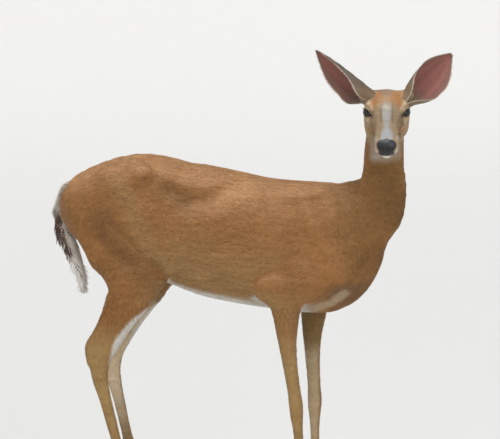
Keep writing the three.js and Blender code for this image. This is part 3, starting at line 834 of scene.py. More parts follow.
        # painted shade on the inner side of the hind legs
        self.lay(PALETTE.leg * 0.6, 0.8 * hind * fade(z, 640, 580) * fade(inner, 0.3, 0.8))
        self.lay(PALETTE.white * 0.9, hind * ahead)
        self.lay(PALETTE.cream * 0.85, hind * fade(z, 560, 500) * fade(z, 330, 400) * fade(inner, 0.4, 0.9))
        cannon = hind * fade(z, 440, 380) * fade(z, 120, 260)
        self.lay(PALETTE.cream, cannon * fade(inner + 0.35 * nx, 0.2, 0.8))
        # painted shade on the inner side of the forearms
        forearm = fore * fade(z, 590, 540) * fade(z, 300, 420)
        self.lay(PALETTE.leg * 0.62, 0.8 * forearm * fade(inner, 0.1, 0.6))
        cannon = fore * fade(z, 440, 380) * fade(z, 120, 200)
        self.lay(PALETTE.cream * 0.9, 0.7 * cannon * fade(inner, 0.2, 0.8))
        self.lay(PALETTE.umber, 0.6 * fade(z, 75, 40))

    def neck(self) -> None:
        """The orange-brown neck, darkened in part as painted shade and more on its front, paling to the
        throat.
        """
        x, _, z = self.p.T
        # the neck's brown: partly its own colour, partly painted shade
        self.lay(PALETTE.neck, 0.85 * fade(z, 690, 860) * fade(x, 290, 425))
        side = fade(np.abs(self.n @ PLACE.head_vector((0.0, 1.0, 0.0))), 0.35, 0.9)
        self.lay(PALETTE.orange * 0.85, 0.4 * side * fade(z, 800, 880) * fade(x, 380, 420))
        throat = self.n @ unit(PLACE.head_vector((1, 0, -0.4)))
        throat = throat * fade(z, 915, 960) * fade(x, 380, 420)
        narrow = fade(np.abs(self.h[:, 1]), 48, 30)
        self.lay(PALETTE.white * 0.85, fade(throat, 0.1, 0.75) * 0.62 * narrow)
        front = self.n @ unit(np.array([0.7, -0.7, 0.0]))
        # the neck's dark brown carried down the front of the chest: partly its own colour, partly painted
        # shade
        self.lay(PALETTE.neck * 1.05, 0.6 * fade(front, 0.2, 0.9) * fade(z, 560, 700) * fade(x, 340, 400))

    def face(self) -> None:
        """Forehead, brows, bridge, cheeks, muzzle, nose and lids, with painted shade over the face and cheeks
        and a painted highlight on top of the nose pad.
        """
        x, y, z = self.h.T
        nz = self.hn[:, 2]
        side = np.abs(y)
        half_face = mirrored(self.h)
        # the face's dun, darkened a little as painted shade
        self.lay(PALETTE.dun * 0.93, np.ones(len(x)))
        brow = np.linalg.norm((half_face - (-10, 24, 34)) / (46, 30, 34), axis=1)
        self.lay(PALETTE.orange, 0.75 * fade(brow, 1.25, 0.3))
        self.lay(PALETTE.taupe, 0.7 * fade(side, 22, 2) * fade(x, 6, -22) * fade(nz, 0, 0.5))
        self.lay(PALETTE.ear_grey, 0.7 * fade(x, -50, -84))
        self.lay(PALETTE.orange * 0.85, 0.5 * within(half_face, (6, 36, 24), (22, 12, 9)))
        brow = line_distance(half_face, ((22, 40, 14), (4, 48, 26), (-18, 50, 26)))
        self.lay(PALETTE.cream, 0.7 * fade(brow, 8.5, 2))
        below = line_distance(half_face, ((20, 44, -16), (0, 52, -20), (-20, 52, -14)))
        self.lay(PALETTE.cream, 0.75 * fade(below, 8, 3.5))
        # darker cheeks: partly their own colour, partly painted shade
        self.lay(PALETTE.cheek * 0.9, 0.8 * within(half_face, (45, 34, -16), (34, 14, 20)))
        self.lay(PALETTE.orange * 0.9, 0.45 * within(half_face, (40, 38, -40), (40, 18, 16)))
        mottles = fade(Waves((9, 7, 7), seed=7)(self.h), 0.2, 0.9)
        self.lay(PALETTE.umber, 0.4 * mottles * within(half_face, (50, 34, -26), (46, 18, 24)))
        half = 13.5 - 5.5 * fade(x, 30, 120)
        top = fade(x, 14, 42) * fade(x, 134, 124) * fade(nz, 0.15, 0.5)
        self.lay(PALETTE.dun * 0.9, 0.6 * top * fade(np.abs(side - 19), 6, 2))
        self.lay(PALETTE.umber, 0.45 * top * fade(np.abs(side - 14), 4, 1) * fade(x, 84, 70))
        self.lay(PALETTE.bridge, 0.7 * top * fade(side, half + 3, half - 6))
        self.lay(PALETTE.cream, 0.35 * within(self.h, (38, 0, 24), (14, 9, 12)))
        tear = line_distance(half_face, ((19, 41, -3), (27, 37, -8), (36, 33, -16)))
        self.lay(PALETTE.umber, 0.8 * fade(tear, 5, 1.5))
        self.lay(PALETTE.cream, 0.8 * within(half_face, (108, 27, -40), (19, 12, 15)))
        self.lay(PALETTE.bridge * 1.04, 0.85 * fade(x, 100, 116) * fade(side, 20, 12) * fade(nz, 0, 0.4))
        self.lay(PALETTE.white * 0.94, fade(nz, -0.1, -0.55) * fade(z, -52, -62) * fade(side, 36, 24))
        self.lay(PALETTE.white, within(half_face, (138, 26, -49), (14, 9, 13)))
        self.lay(PALETTE.umber, 0.9 * within(half_face, (132, 23, -24), (8, 6, 7)))
        self.lay(PALETTE.black, nose_mask(self.h))
        # painted highlight: paler grey on the top of the nose pad
        self.lay(PALETTE.nose_top_highlight, 0.8 * nose_mask(self.h) * fade(z, -36, -20))
        for opening in OPENINGS.values():
            near = fade(np.linalg.norm(self.h - opening.centre, axis=1), 36, 30)
            self.lay(PALETTE.black, near * fade(opening.spread(self.h), 1.26, 1.06))


NOSE_HEIGHTS = (-65, -62, -58, -53, -48, -42, -34, -27, -21, -17, -13)
NOSE_HALVES = (-6, 12, 20, 21.5, 19, 20.5, 25, 26, 22, 15, -3)


def tail_root(points: Array) -> Array:
    """1 on the flared white hair over the root of the tail."""
    x, y, z = points.T
    return fade(x, -396, -404) * fade(z, 784, 806) * fade(z, 868, 848) * fade(np.abs(y), 44, 30)


def nose_mask(local: Array) -> Array:
    """1 on the bare black nose pad and the dark middle of the upper lip.

    Args:
        local: Places in the head's frame.

    Returns:
        The mask.
    """
    x, y, z = local.T
    half = np.interp(z, NOSE_HEIGHTS, NOSE_HALVES)
    rear = np.interp(z, (-60, -50, -30, -14), (134, 138, 132, 136))
    return fade(np.abs(y) - half, 1.4, -1.2) * fade(x - rear, 0, 3) * fade(z, -8, -12)


# ------------ meshes made from arrays


@dataclass
class Sheet:
    """Points, faces and what is known of each point, before they become a Blender mesh."""

    points: Array
    faces: Array
    tones: Array | None = None


def grid_faces(rows: int, columns: int, closed: bool, start: int = 0) -> Array:
    """Quads over rows of points, joined round when closed.

    Args:
        rows: How many rows of points.
        columns: How many points in a row.
        closed: Whether the rows join round.
        start: The number of the first point.

    Returns:
        The quads.
    """
    last = columns if closed else columns - 1
    r, c = np.meshgrid(np.arange(rows - 1), np.arange(last), indexing="ij")
    n, here, above = (c + 1) % columns, r * columns, (r + 1) * columns
    return np.stack([here + c, here + n, above + n, above + c], axis=-1).reshape(-1, 4) + start


def outward(points: Array, faces: Array) -> Array:
    """Faces turned so that the closed shell they make faces outwards.

    Args:
        points: The shell's points.
        faces: Rows of point numbers.

    Returns:
        The faces, turned if need be.
    """
    a, b, c = points[faces[:, 0]], points[faces[:, 1]], points[faces[:, 2]]
    middle = points.mean(axis=0)
    volume = np.einsum("ij,ij->i", a - middle, np.cross(b - middle, c - middle)).sum()
    return faces if volume > 0.0 else faces[:, ::-1]


def make_object(name: str, points: Array, faces: Array, smooth: bool = True) -> Piece:
    """A Blender object from body millimetres and equal-sided faces.

    Args:
        name: The piece's name.
        points: Its points.
        faces: Rows of point numbers, all of one length.
        smooth: Whether it is shaded smooth.

    Returns:
        The object, linked to the scene.
    """
    mesh = bpy.data.meshes.new(name)
    sides = faces.shape[1]
    mesh.vertices.add(len(points))
    mesh.vertices.foreach_set("co", PLACE.metres(points).astype(np.float32).ravel())
    mesh.loops.add(faces.size)
    mesh.loops.foreach_set("vertex_index", faces.astype(np.int32).ravel())
    mesh.polygons.add(len(faces))
    mesh.polygons.foreach_set("loop_start", np.arange(0, faces.size, sides, dtype=np.int32))
    mesh.update(calc_edges=True)
    mesh.polygons.foreach_set("use_smooth", np.full(len(faces), smooth))
    piece = bpy.data.objects.new(name, mesh)
    bpy.context.scene.collection.objects.link(piece)
    return piece


def closed_piece(name: str, points: Array, rows: int, columns: int) -> Piece:
    """A piece from a stack of rings that closes on itself."""
    return make_object(name, points, outward(points, grid_faces(rows, columns, True)))


def node_box(node: str) -> Array:
    """The lowest and highest corners of a CAD node, in body millimetres."""
    return PLACE.millimetres(np.array([list(corner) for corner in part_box(node)]))


def read(rows: bpy.types.bpy_prop_collection, key: str, width: int, kind: type = np.float32) -> Array:
    """One property of every member of a mesh's list, as rows of numbers.

    Args:
        rows: The list.
        key: The property.
        width: How many numbers it has.
        kind: Their type.

    Returns:
        The rows.
    """
    out = np.empty(len(rows) * width, kind)
    rows.foreach_get(key, out)
    return out.reshape(-1, width)


def points_of(piece: Piece) -> Array:
    """A piece's points in body millimetres."""
    return PLACE.millimetres(read(piece.data.vertices, "co", 3).astype(float))


def normals_of(piece: Piece) -> Array:
    """A piece's normals, one for each point."""
    return read(piece.data.vertex_normals, "vector", 3).astype(float)


def move_points(piece: Piece, points: Array) -> None:
    """Puts a piece's points at new places."""
    piece.data.vertices.foreach_set("co", PLACE.metres(points).astype(np.float32).ravel())
    piece.data.update()


def give_colours(piece: Piece, name: str, colours: Array) -> None:
    """Gives each point of a piece a colour.

    Args:
        piece: The piece.
        name: Its name.
        colours: Linear red, green and blue.
    """
    layer = piece.data.color_attributes.new(name, "FLOAT_COLOR", "POINT")
    rgba = np.ones((len(colours), 4), np.float32)
    rgba[:, :3] = colours
    layer.data.foreach_set("color", rgba.ravel())


def give(piece: Piece, name: str, values: Array) -> None:
    """Gives each point of a piece one number, or three.

    Args:
        piece: The piece.
        name: Its name.
        values: The numbers.
    """
    kind, key = ("FLOAT", "value") if values.ndim == 1 else ("FLOAT_VECTOR", "vector")
    layer = piece.data.attributes.new(name, kind, "POINT")
    layer.data.foreach_set(key, values.astype(np.float32).ravel())


@dataclass
class Waves:
    """Soft random variation over space, as a sum of plane waves."""

    size: Row
    count: int = 28
    seed: int = 1

    def __call__(self, points: Array) -> Array:
        """Values of about -1 to 1.

        Args:
            points: Places in body millimetres.

        Returns:
            The values.
        """
        rng = np.random.default_rng(self.seed)
        total = np.zeros(len(points))
        for _ in range(self.count):
            wave = rng.normal(size=3) * 2.4 / np.asarray(self.size, float)
            total += np.cos(points @ wave + rng.uniform(0.0, 2.0 * math.pi))
        return total / math.sqrt(self.count)


class SurfaceNet:
    """Quads over the zero surface of a field."""

    def __init__(self, shape: Field, low: Row, high: Row, step: float, block: int = 4) -> None:
        """Reads the field on a coarse grid, then finely near its surface.

        Args:
            shape: The field.
            low: The lowest corner.
            high: The highest corner.
            step: The size of a fine cell.
            block: How many fine cells one coarse cell spans.
        """
        self.low, self.step = np.asarray(low, float), step
        blocks = np.ceil((np.asarray(high, float) - self.low) / (step * block)).astype(int)
        coarse_at = np.stack(np.meshgrid(*(np.arange(n + 1) for n in blocks), indexing="ij"), axis=-1)
        coarse = shape(self.low + coarse_at.reshape(-1, 3) * step * block).reshape(blocks + 1)
        starts = np.indices((2, 2, 2)).reshape(3, -1).T
        corners = [coarse[tuple(slice(a, a + n) for a, n in zip(start, blocks))] for start in starts]
        near = np.min(np.abs(corners), axis=0) < step * block * 1.25
        value = coarse[:-1, :-1, :-1]
        for axis in range(3):
            near, value = np.repeat(near, block, axis), np.repeat(value, block, axis)
        near, value = (np.pad(grid, ((0, 1),) * 3, mode="edge") for grid in (near, value))
        for axis in range(3):
            near = near | np.roll(near, 1, axis)
        at = np.argwhere(near)
        value[near] = shape(self.low + at * step)
        self.value = value

    def mesh(self) -> tuple[Array, Array]:
        """The points and quads.

        Returns:
            Points and faces.
        """
        inside, ids, marks = self.value < 0.0, [], []
        for axis in range(3):
            along, u, w = (np.eye(3, dtype=int)[(axis + n) % 3] for n in range(3))
            here = np.delete(inside, -1, axis)
            at = np.argwhere(here != np.delete(inside, 0, axis))
            start, end = self.value[tuple(at.T)], self.value[tuple((at + along).T)]
            crossing = at + along * (start / (start - end))[:, None]
            around = np.stack([at, at - u, at - u - w, at - w], axis=1)
            flip = start > 0.0
            around[flip] = around[flip][:, ::-1]
            ids.append(np.ravel_multi_index(tuple(np.moveaxis(around, 2, 0)), self.value.shape))
            marks.append(np.repeat(crossing, 4, axis=0))
        _, where = np.unique(np.concatenate(ids).ravel(), return_inverse=True)
        marks, count = np.concatenate(marks), np.bincount(where)
        points = np.stack([np.bincount(where, marks[:, a]) / count for a in range(3)], axis=1)
        return self.low + points * self.step, where.reshape(-1, 4)


# ------------ ears


@dataclass
class Ear:
    """One ear: a thin shell wrapped round its own line, open to one side."""

    root: Row
    tip: Row
    open_way: Row
    sweep: float
    rows: int = 56
    columns: int = 44
    bow: float = 5.0
    sunk: float = -0.1  # how far the shell starts inside the head, as a part of its line
    ridge_turns: float = 4.2 * math.pi
    sections: Table = (
        (-0.1, 14, 176), (0, 18, 160), (0.12, 29.5, 134), (0.25, 40.5, 104), (0.39, 45.5, 82), (0.52, 47, 71),
        (0.66, 42, 64), (0.8, 29.5, 58), (0.91, 16, 52), (1, 4, 45),
    )  # way along, half width, how far it wraps in degrees

    def frame_lines(self) -> tuple[Array, Array, Array]:
        """The ear's line, its open side and the way across it, in the head's frame.

        Returns:
            The three directions; the first is as long as the ear.
        """
        spine = np.asarray(self.tip, float) - np.asarray(self.root, float)
        along = unit(spine)
        way = np.asarray(self.open_way, float)
        front = unit(way - (way @ along) * along)
        return spine, front, np.cross(along, front)

    def base(self, local: Array) -> Array:
        """1 where the head's hair runs up onto the ear."""
        spine = self.frame_lines()[0]
        return fade(np.linalg.norm(local - np.asarray(self.root) - 0.06 * spine, axis=1), 44, 30)

    def at(self, v: Array, u: Array, face: Array) -> Array:
        """Points of the shell in body millimetres.

        Args:
            v: The way along it, 0 to 1.
            u: The way round it, -1 to 1.
            face: -1 on the inside, 1 on the back.

        Returns:
            The points.
        """
        rows = smooth_rows(np.array(self.sections, float), 6)
        half = np.interp(v, rows[:, 0], rows[:, 1]) - 0.8
        wrap = np.radians(np.interp(v, rows[:, 0], rows[:, 2]))
        spine, front, across = self.frame_lines()
        radius = half / np.sin(np.minimum(wrap, math.pi / 2))
        edge = np.sqrt(np.clip(1.0 - np.abs(u) ** 5, 0.0, 1.0))
        thick = (2.6 + 4.0 * (1.0 - v) ** 3) * (1.0 - 0.35 * u * u) * edge * fade(v, 1, 0.93) ** 0.5
        ridged = fade(np.abs(u), 0.98, 0.7) * fade(v, 0.04, 0.2) * fade(v, 0.9, 0.6)
        ridges = 0.75 * np.cos(u * self.ridge_turns) * ridged
        ripple = 0.35 * np.sin(v * 31.0 + 4.0 * u) * fade(v, 1, 0.7)
        reach = radius + face * thick / 2.0 + np.where(face < 0, ridges, 0.0) + ripple
        centre = np.asarray(self.root, float) + spine * v[:, None]
        swell = np.sin(math.pi * v)[:, None]
        centre = centre + front * (radius[:, None] - self.bow * swell) + across * self.sweep * swell
        angle = wrap * u
        local = centre + across * (reach * np.sin(angle))[:, None] - front * (reach * np.cos(angle))[:, None]
        return PLACE.from_head(local)

    def loops(self) -> tuple[Array, Array, Array]:
        """The way along, the way round and the face of each point of the mesh.

        Returns:
            Each as one row of numbers.
        """
        turn = round_angles(2 * self.columns)
        u, side = np.sin(turn), np.where(np.cos(turn) >= 0.0, 1.0, -1.0)
        face = side * np.minimum(1.0, np.abs(np.cos(turn)) * 8.0)
        v = self.sunk + (1.0 - self.sunk) * (1.0 - (1.0 - np.linspace(0.0, 1.0, self.rows)) ** 1.15)
        v, u = np.meshgrid(v, u, indexing="ij")
        return v.ravel(), u.ravel(), np.tile(face, self.rows)

    def paint(self, v: Array, u: Array, face: Array) -> Array:
        """The colours of the shell: pink and ridged inside, grey-brown on its back, with a pale rim.

        Args:
            v: The way along it, 0 to 1.
            u: The way round it, -1 to 1.
            face: -1 on the inside, 1 on the back.

        Returns:
            The colours.
        """
        side = np.abs(u)
        reddish = 0.15 * fade(v, 0.45, 0.1)
        back = PALETTE.ear_grey * 0.92 + (PALETTE.russet - PALETTE.ear_grey) * reddish[:, None]
        back = blend(back, PALETTE.cheek, 0.6 * fade(v, 0.22, 0.04))
        inside = PALETTE.ear_pink * (0.94 + 0.08 * np.cos(u * self.ridge_turns))[:, None]
        inside = blend(inside, PALETTE.ear_grey * 0.8, 0.45 * fade(side, 0.45, 0.9))
        inside = blend(inside, PALETTE.ear_grey * 0.9, 0.7 * fade(v, 0.34, 0.1))
        inside = blend(inside, PALETTE.cream * 0.8, 0.6 * fade(v, 0.2, 0.02))
        colour = blend(back, inside, np.clip(-face, 0.0, 1.0))
        colour = blend(colour, PALETTE.rim, 0.95 * fade(side, 0.945, 0.98))
        return blend(colour, PALETTE.umber, 0.5 * fade(v, 0.88, 1))

    def sheet(self) -> Sheet:
        """The shell as points, quads and colours.

        Returns:
            The shell.
        """
        v, u, face = self.loops()
        points = self.at(v, u, face)
        faces = outward(points, grid_faces(self.rows, 2 * self.columns, True))
        return Sheet(points, faces, self.paint(v, u, face))


EARS = {
    1.0: Ear((-47, 49, 13.5), (-146, 171.5, 107.5), (0.84, 0.37, 0.4), 3.0),
    -1.0: Ear((-50.5, -36, 31.5), (-105, -187, 133), (0.77, -0.52, -0.38), -10.0),
}


# ------------ the skin


@dataclass
class Skin:
    """One skin over the whole doe, with lids, nostrils, mouth and ears."""

    step: float = 5.5
    low: Row = (-510.0, -310.0, -20.0)
    high: Row = (610.0, 140.0, 1170.0)
    nostril: Table = ((156, 9, -40), (155, 14, -38), (150, 19, -33), (143, 22, -29))
    lips: Table = ((152, 0, -63), (146, 12, -62), (134, 21, -60), (112, 24, -57), (84, 25, -54))
    tear: Table = ((15, 38, -3), (24, 37, -7), (31, 35, -11))
    face_reach: float = 150.0
    eye_reach: float = 34.0
    nose_reach: float = 46.0
    lid_reach: float = 38.0
    lid_spread: float = 5.0
    seam_angle: float = 1.15
    island_gap: float = 0.001

    def build(self) -> Piece:
        """Makes the skin and gives it its colours and its unwrap.

        Returns:
            The skin.
        """
        points, faces = SurfaceNet(FLESH.skin, self.low, self.high, self.step).mesh()
        piece = make_object("skin", FLESH.settle(points, 2), faces)
        self.relax(piece, 2)
        self.refine(piece, self.near_face)
        self.refine(piece, self.near_features)
        local = PLACE.to_head(points_of(piece))
        for s in SIDES:
            local = self.open_eye(local, s)
        move_points(piece, PLACE.from_head(local))
        self.press_face(piece)
        self.add_parts(piece)
        self.unwrap(piece)
        return piece

    @staticmethod
    def relax(piece: Piece, rounds: int) -> None:
        """Evens out the points along the surface and settles them on it again.

        Args:
            piece: The piece.
            rounds: How many times.
        """
        a, b = read(piece.data.edges, "vertices", 2, np.int32).T
        points = points_of(piece)
        size = len(points)
        count = np.bincount(np.concatenate([a, b]), minlength=size)[:, None]
        for _ in range(rounds):
            ends = zip(points[a].T, points[b].T)
            total = np.stack([np.bincount(a, q, size) + np.bincount(b, p, size) for p, q in ends], axis=1)
            points = FLESH.settle(points + 0.6 * (total / count - points), 1)
        move_points(piece, points)

    def near_face(self, points: Array) -> Array:
        """True on the face."""
        return np.linalg.norm(PLACE.to_head(points) - (35, 0, -12), axis=1) < self.face_reach

    def near_features(self, points: Array) -> Array:
        """True round the eyes and on the nose and lips.

        Args:
            points: Places in body millimetres.

        Returns:
            The choice.
        """
        local = PLACE.to_head(points)
        eyes = [np.linalg.norm(local - o.centre, axis=1) < self.eye_reach for o in OPENINGS.values()]
        return eyes[0] | eyes[1] | (np.linalg.norm(local - (140, 0, -45), axis=1) < self.nose_reach)

    def refine(self, piece: Piece, chosen: Callable[[Array], Array]) -> None:
        """Halves the quads where `chosen` says so, and settles the new points.

        Args:
            piece: The piece.
            chosen: Says which quads, from their middles.
        """
        work = bmesh.new()
        work.from_mesh(piece.data)
        middles = PLACE.millimetres(np.array([f.calc_center_median() for f in work.faces]))
        wanted = np.nonzero(chosen(middles))[0]
        work.faces.ensure_lookup_table()
        edges = {e for i in wanted for e in work.faces[i].edges}
        before = len(work.verts)
        bmesh.ops.subdivide_edges(work, edges=list(edges), cuts=1, use_grid_fill=True)
        work.to_mesh(piece.data)
        work.free()
        points = points_of(piece)
        points[before:] = FLESH.settle(points[before:], 2)
        move_points(piece, points)
        piece.data.polygons.foreach_set("use_smooth", np.ones(len(piece.data.polygons), bool))

    def open_eye(self, local: Array, s: float) -> Array:
        """Draws the skin over the eyeball into two lids, with a crease above and a fold below.

        Args:
            local: Places in the head's frame.
            s: 1 for the left side, -1 for the right.

        Returns:
            The places, moved.
        """
        opening = OPENINGS[s]
        _, up, reach = opening.angles(local)
        spread = opening.spread(local)
        near = (reach < self.lid_reach) & (spread < self.lid_spread)
        upper = fade(up, -0.1, 0.25)
        rise = EYE_RADIUS + opening.lid_rise + 1.1 * upper
        over = rise + (reach - rise) * fade(spread, 1.15, 3.4)
        over = over - 1.5 * upper * bell(spread - 2.25, 0.28) - 0.8 * (1.0 - upper) * bell(spread - 2.1, 0.3)
        over = over + 0.9 * upper * bell(spread - 3.0, 0.5)
        wanted = np.where(spread < 1.0, EYE_RADIUS - 3.5, over)
        out = local.copy()
        scale = (wanted / np.maximum(reach, 1e-6))[near, None]
        out[near] = opening.centre + (local[near] - opening.centre) * scale
        return out

    def press_face(self, piece: Piece) -> None:
        """Presses in the nostrils, the lips' line, the groove of the nose and the tear glands.

        Args:
            piece: The piece.
        """
        points, normals = points_of(piece), normals_of(piece)
        local = PLACE.to_head(points)
        x, y, z = local.T
        paths = (self.nostril, self.lips, self.tear)
        pit, lips, tear = (line_distance(mirrored(local), path) for path in paths)
        depth = 9.0 * bell(pit, 3.7) - 1.3 * bell(pit - 6.2, 2.0) + 2.4 * bell(lips, 1.6)
        depth = depth + 1.0 * bell(y, 1.1) * fade(x, 144, 150) * fade(z, -22, -30)
        depth = depth + 2.2 * bell(tear, 2.6) - 0.7 * nose_mask(local) * fade(np.abs(y), 2, 6)
        move_points(piece, points - normals * depth[:, None])

    def add_parts(self, piece: Piece) -> None:
        """Joins lid edges and ears to the skin, and colours all of it.

        Args:
            piece: The piece.
        """
        points, normals = points_of(piece), normals_of(piece)
        local = PLACE.to_head(points)
        give_colours(piece, "tone", MarkingsAndShade(points, normals).paint())
        pit = bell(line_distance(mirrored(local), self.nostril), 3.6)
        give(piece, "bare", np.maximum(nose_mask(local), pit))
        give(piece, "shell", np.zeros(len(points)))
        parts = [ear.sheet() for ear in EARS.values()] + [self.lid_edge(s) for s in SIDES]
        others = []
        for i, part in enumerate(parts):
            other = make_object(f"skin_part_{i}", part.points, part.faces)
            give_colours(other, "tone", part.tones)
            give(other, "bare", np.full(len(part.points), float(i > 1)))
            give(other, "shell", np.full(len(part.points), 1.0 + float(i > 1)))
            others.append(other)
        with bpy.context.temp_override(active_object=piece, selected_editable_objects=[piece, *others]):
            bpy.ops.object.join()

    @staticmethod
    def lid_edge(s: float) -> Sheet:
        """The dark moist edge of both lids: a fine tube round the opening.

        Args:
            s: 1 for the left side, -1 for the right.

        Returns:
            The tube.
        """
        opening = OPENINGS[s]
        turn, around = round_angles(72), round_angles(10)
        way = opening.directions(*opening.outline(turn))
        thick = 0.6 + 0.25 * fade(np.sin(turn), -0.2, 0.4) + 0.5 * np.maximum(np.cos(turn), 0.0) ** 8
        line = opening.centre + way * (EYE_RADIUS + 0.5)
        tangent = unit(np.roll(line, -1, axis=0) - np.roll(line, 1, axis=0))
        side = np.cross(tangent, way)
        lines = [line + thick[:, None] * (math.cos(a) * way + math.sin(a) * side) for a in around]
        points = PLACE.from_head(np.stack(lines, axis=1).reshape(-1, 3))
        faces = grid_faces(len(turn), len(around), True)
        last = grid_faces(2, len(around), True) % (2 * len(around))
        last = np.where(last < len(around), last + (len(turn) - 1) * len(around), last - len(around))
        tones = np.tile(PALETTE.black * 0.8, (len(points), 1))
        return Sheet(points, np.concatenate([faces, last])[:, ::-1], tones)

    def unwrap(self, piece: Piece) -> None:
        """Unfolds the skin by its own shape, onto the map that the coat shares.

        Args:
            piece: The piece.
        """
        piece.data.uv_layers.new(name="OFBake")
        bpy.context.view_layer.objects.active = piece
        piece.select_set(True)
        bpy.ops.object.mode_set(mode="EDIT")
        bpy.ops.mesh.select_all(action="SELECT")
        bpy.ops.uv.smart_project(angle_limit=self.seam_angle, island_margin=self.island_gap)
        bpy.ops.object.mode_set(mode="OBJECT")
        piece.select_set(False)


# ------------ shader sums and nodes


class Wire:
    """A value's socket, which takes part in sums."""

    def __init__(self, maker: "Maker", socket: bpy.types.NodeSocket) -> None:
        """Wraps a socket of a maker's tree."""
        self.maker, self.socket = maker, socket

    def _sum(self, operation: str, a: object, b: object) -> "Wire":
        """One Math node."""
        return self.maker.make("ShaderNodeMath", {"operation": operation}, {0: a, 1: b})

    def __add__(self, other: object) -> "Wire":
        """This plus another."""
        return self._sum("ADD", self, other)

    def __sub__(self, other: object) -> "Wire":
        """This less another."""
        return self._sum("SUBTRACT", self, other)

    def __rsub__(self, other: object) -> "Wire":
        """Another less this."""
        return self._sum("SUBTRACT", other, self)

    def __mul__(self, other: object) -> "Wire":
        """This times another."""
        return self._sum("MULTIPLY", self, other)

    __radd__, __rmul__ = __add__, __mul__

    def step(self, start: float, end: float) -> "Wire":
        """A smooth step from 0 at start to 1 at end."""
        settings = {"interpolation_type": "SMOOTHSTEP"}
        return self.maker.make("ShaderNodeMapRange", settings, {0: self, 1: start, 2: end})


class Maker:
    """Makes the nodes of one material."""

    def __init__(self, name: str) -> None:
        """Starts an empty material.

        Args:
            name: The material's name.
        """
        self.material = bpy.data.materials.new(name)
        self.material.use_nodes = True
        self.tree = self.material.node_tree
        self.tree.nodes.clear()

    def make(
        self, kind: str, settings: dict | None = None, inputs: dict | None = None, output: int | str = 0,
    ) -> Wire:
        """Adds one node.

        Args:
            kind: The node's type.
            settings: Its properties, with "stops" for a ramp's places and colours.
            inputs: Values or links, by the name or number of the socket.
            output: Which of its outputs is wanted.

        Returns:
            That output.
        """
        node = self.tree.nodes.new(kind)
        for key, value in (settings or {}).items():
            if key == "stops":
                for stop, (place, colour) in zip(self._stops(node, len(value)), value):
                    stop.position, stop.color = place, (*colour, 1.0)
            else:
                setattr(node, key, value)
        for key, value in (inputs or {}).items():
            if isinstance(value, Wire):
                self.tree.links.new(value.socket, node.inputs[key])
            else:
                node.inputs[key].default_value = value
        return Wire(self, node.outputs[output]) if node.outputs else Wire(self, node.inputs[0])

    @staticmethod
    def _stops(node: bpy.types.Node, count: int) -> list:
        """A ramp's stops, made up to the number wanted.

        Args:
            node: The ramp.
            count: How many.

        Returns:
            The stops.
        """
        while len(node.color_ramp.elements) < count:
            node.color_ramp.elements.new(0.5)
        return list(node.color_ramp.elements)

    def read(self, name: str, output: str = "Fac") -> Wire:
        """An attribute of the mesh: its "Color", "Vector" or "Fac"."""
        return self.make("ShaderNodeAttribute", {"attribute_name": name}, {}, output)

    def stretched(self, scale: Row) -> Wire:
        """Object coordinates in metres, scaled along each axis."""
        place = self.make("ShaderNodeTexCoord", {}, {}, "Object")
        return self.make("ShaderNodeVectorMath", {"operation": "MULTIPLY"}, {0: place, 1: tuple(scale)})

    def noise(self, place: Wire, scale: float, detail: float = 3.0) -> Wire:
        """Noise of about 0 to 1."""
        return self.make("ShaderNodeTexNoise", {}, {"Vector": place, "Scale": scale, "Detail": detail})

    def mix(self, factor: object, a: object, b: object, blend: str = "MIX") -> Wire:
        """Two colours mixed."""
        settings = {"data_type": "RGBA", "blend_type": blend, "clamp_factor": True}
        return self.make("ShaderNodeMix", settings, {0: factor, 6: colour4(a), 7: colour4(b)}, 2)

    def streaked(self, factor: float, streak: Wire, dark: Array, light: Array) -> Wire:
        """The mesh's own tone, softly streaked with a darker and a lighter one."""
        return self.mix(factor, self.read("tone", "Color"), self.mix(streak, dark, light), "SOFT_LIGHT")

    def bump(self, height: Wire, distance: float, strength: float) -> Wire:
        """A normal from heights."""
        return self.make("ShaderNodeBump", {}, {"Height": height, "Distance": distance, "Strength": strength})

    def surface(self, inputs: dict) -> Dress:
        """Finishes the material with one principled surface.

        Args:
            inputs: The surface's values or wires, by name.

        Returns:
            The material.
        """
        shader = self.make("ShaderNodeBsdfPrincipled", {}, inputs)
        self.make("ShaderNodeOutputMaterial", {}, {"Surface": shader})
        return self.material


def colour4(colour: object) -> object:
    """A colour as Blender's four numbers; a wire stays as it is."""
    return colour if isinstance(colour, Wire) else (*(float(c) for c in colour[:3]), 1.0)


@dataclass(frozen=True)
class HideFinish:
    """Bare skin and the short dense fur close to it, with the wet black nose."""

    pores: float = 620.0
    fur_rough: float = 0.72
    nose_rough: float = 0.30

    def build(self) -> Dress:
        """Makes the material.

        Returns:
            The material.
        """
        m = Maker("hide")
        bare = m.read("bare")
        fine = m.noise(m.stretched((1.0, 1.0, 1.0)), 420.0, 4.0)
        streak = m.noise(m.stretched((14.0, 110.0, 60.0)), 9.0, 4.0)
        tone = m.streaked(0.34, streak, tint(70, 42, 26), tint(255, 226, 190))
        pores = {"Vector": m.stretched((1, 1, 1)), "Scale": self.pores}
        pores = m.make("ShaderNodeTexVoronoi", {"feature": "F1"}, pores)
        height = (fine * 0.6 + streak * 0.4) * (1.0 - bare) + pores * bare
        rough = self.fur_rough + (self.nose_rough - self.fur_rough) * bare + 0.12 * (fine - 0.5)
        inputs = {"Base Color": tone, "Roughness": rough, "Normal": m.bump(height, 0.0004, 0.55)}
        return m.surface(inputs | {"Sheen Weight": 0.08, "Specular IOR Level": 0.4})


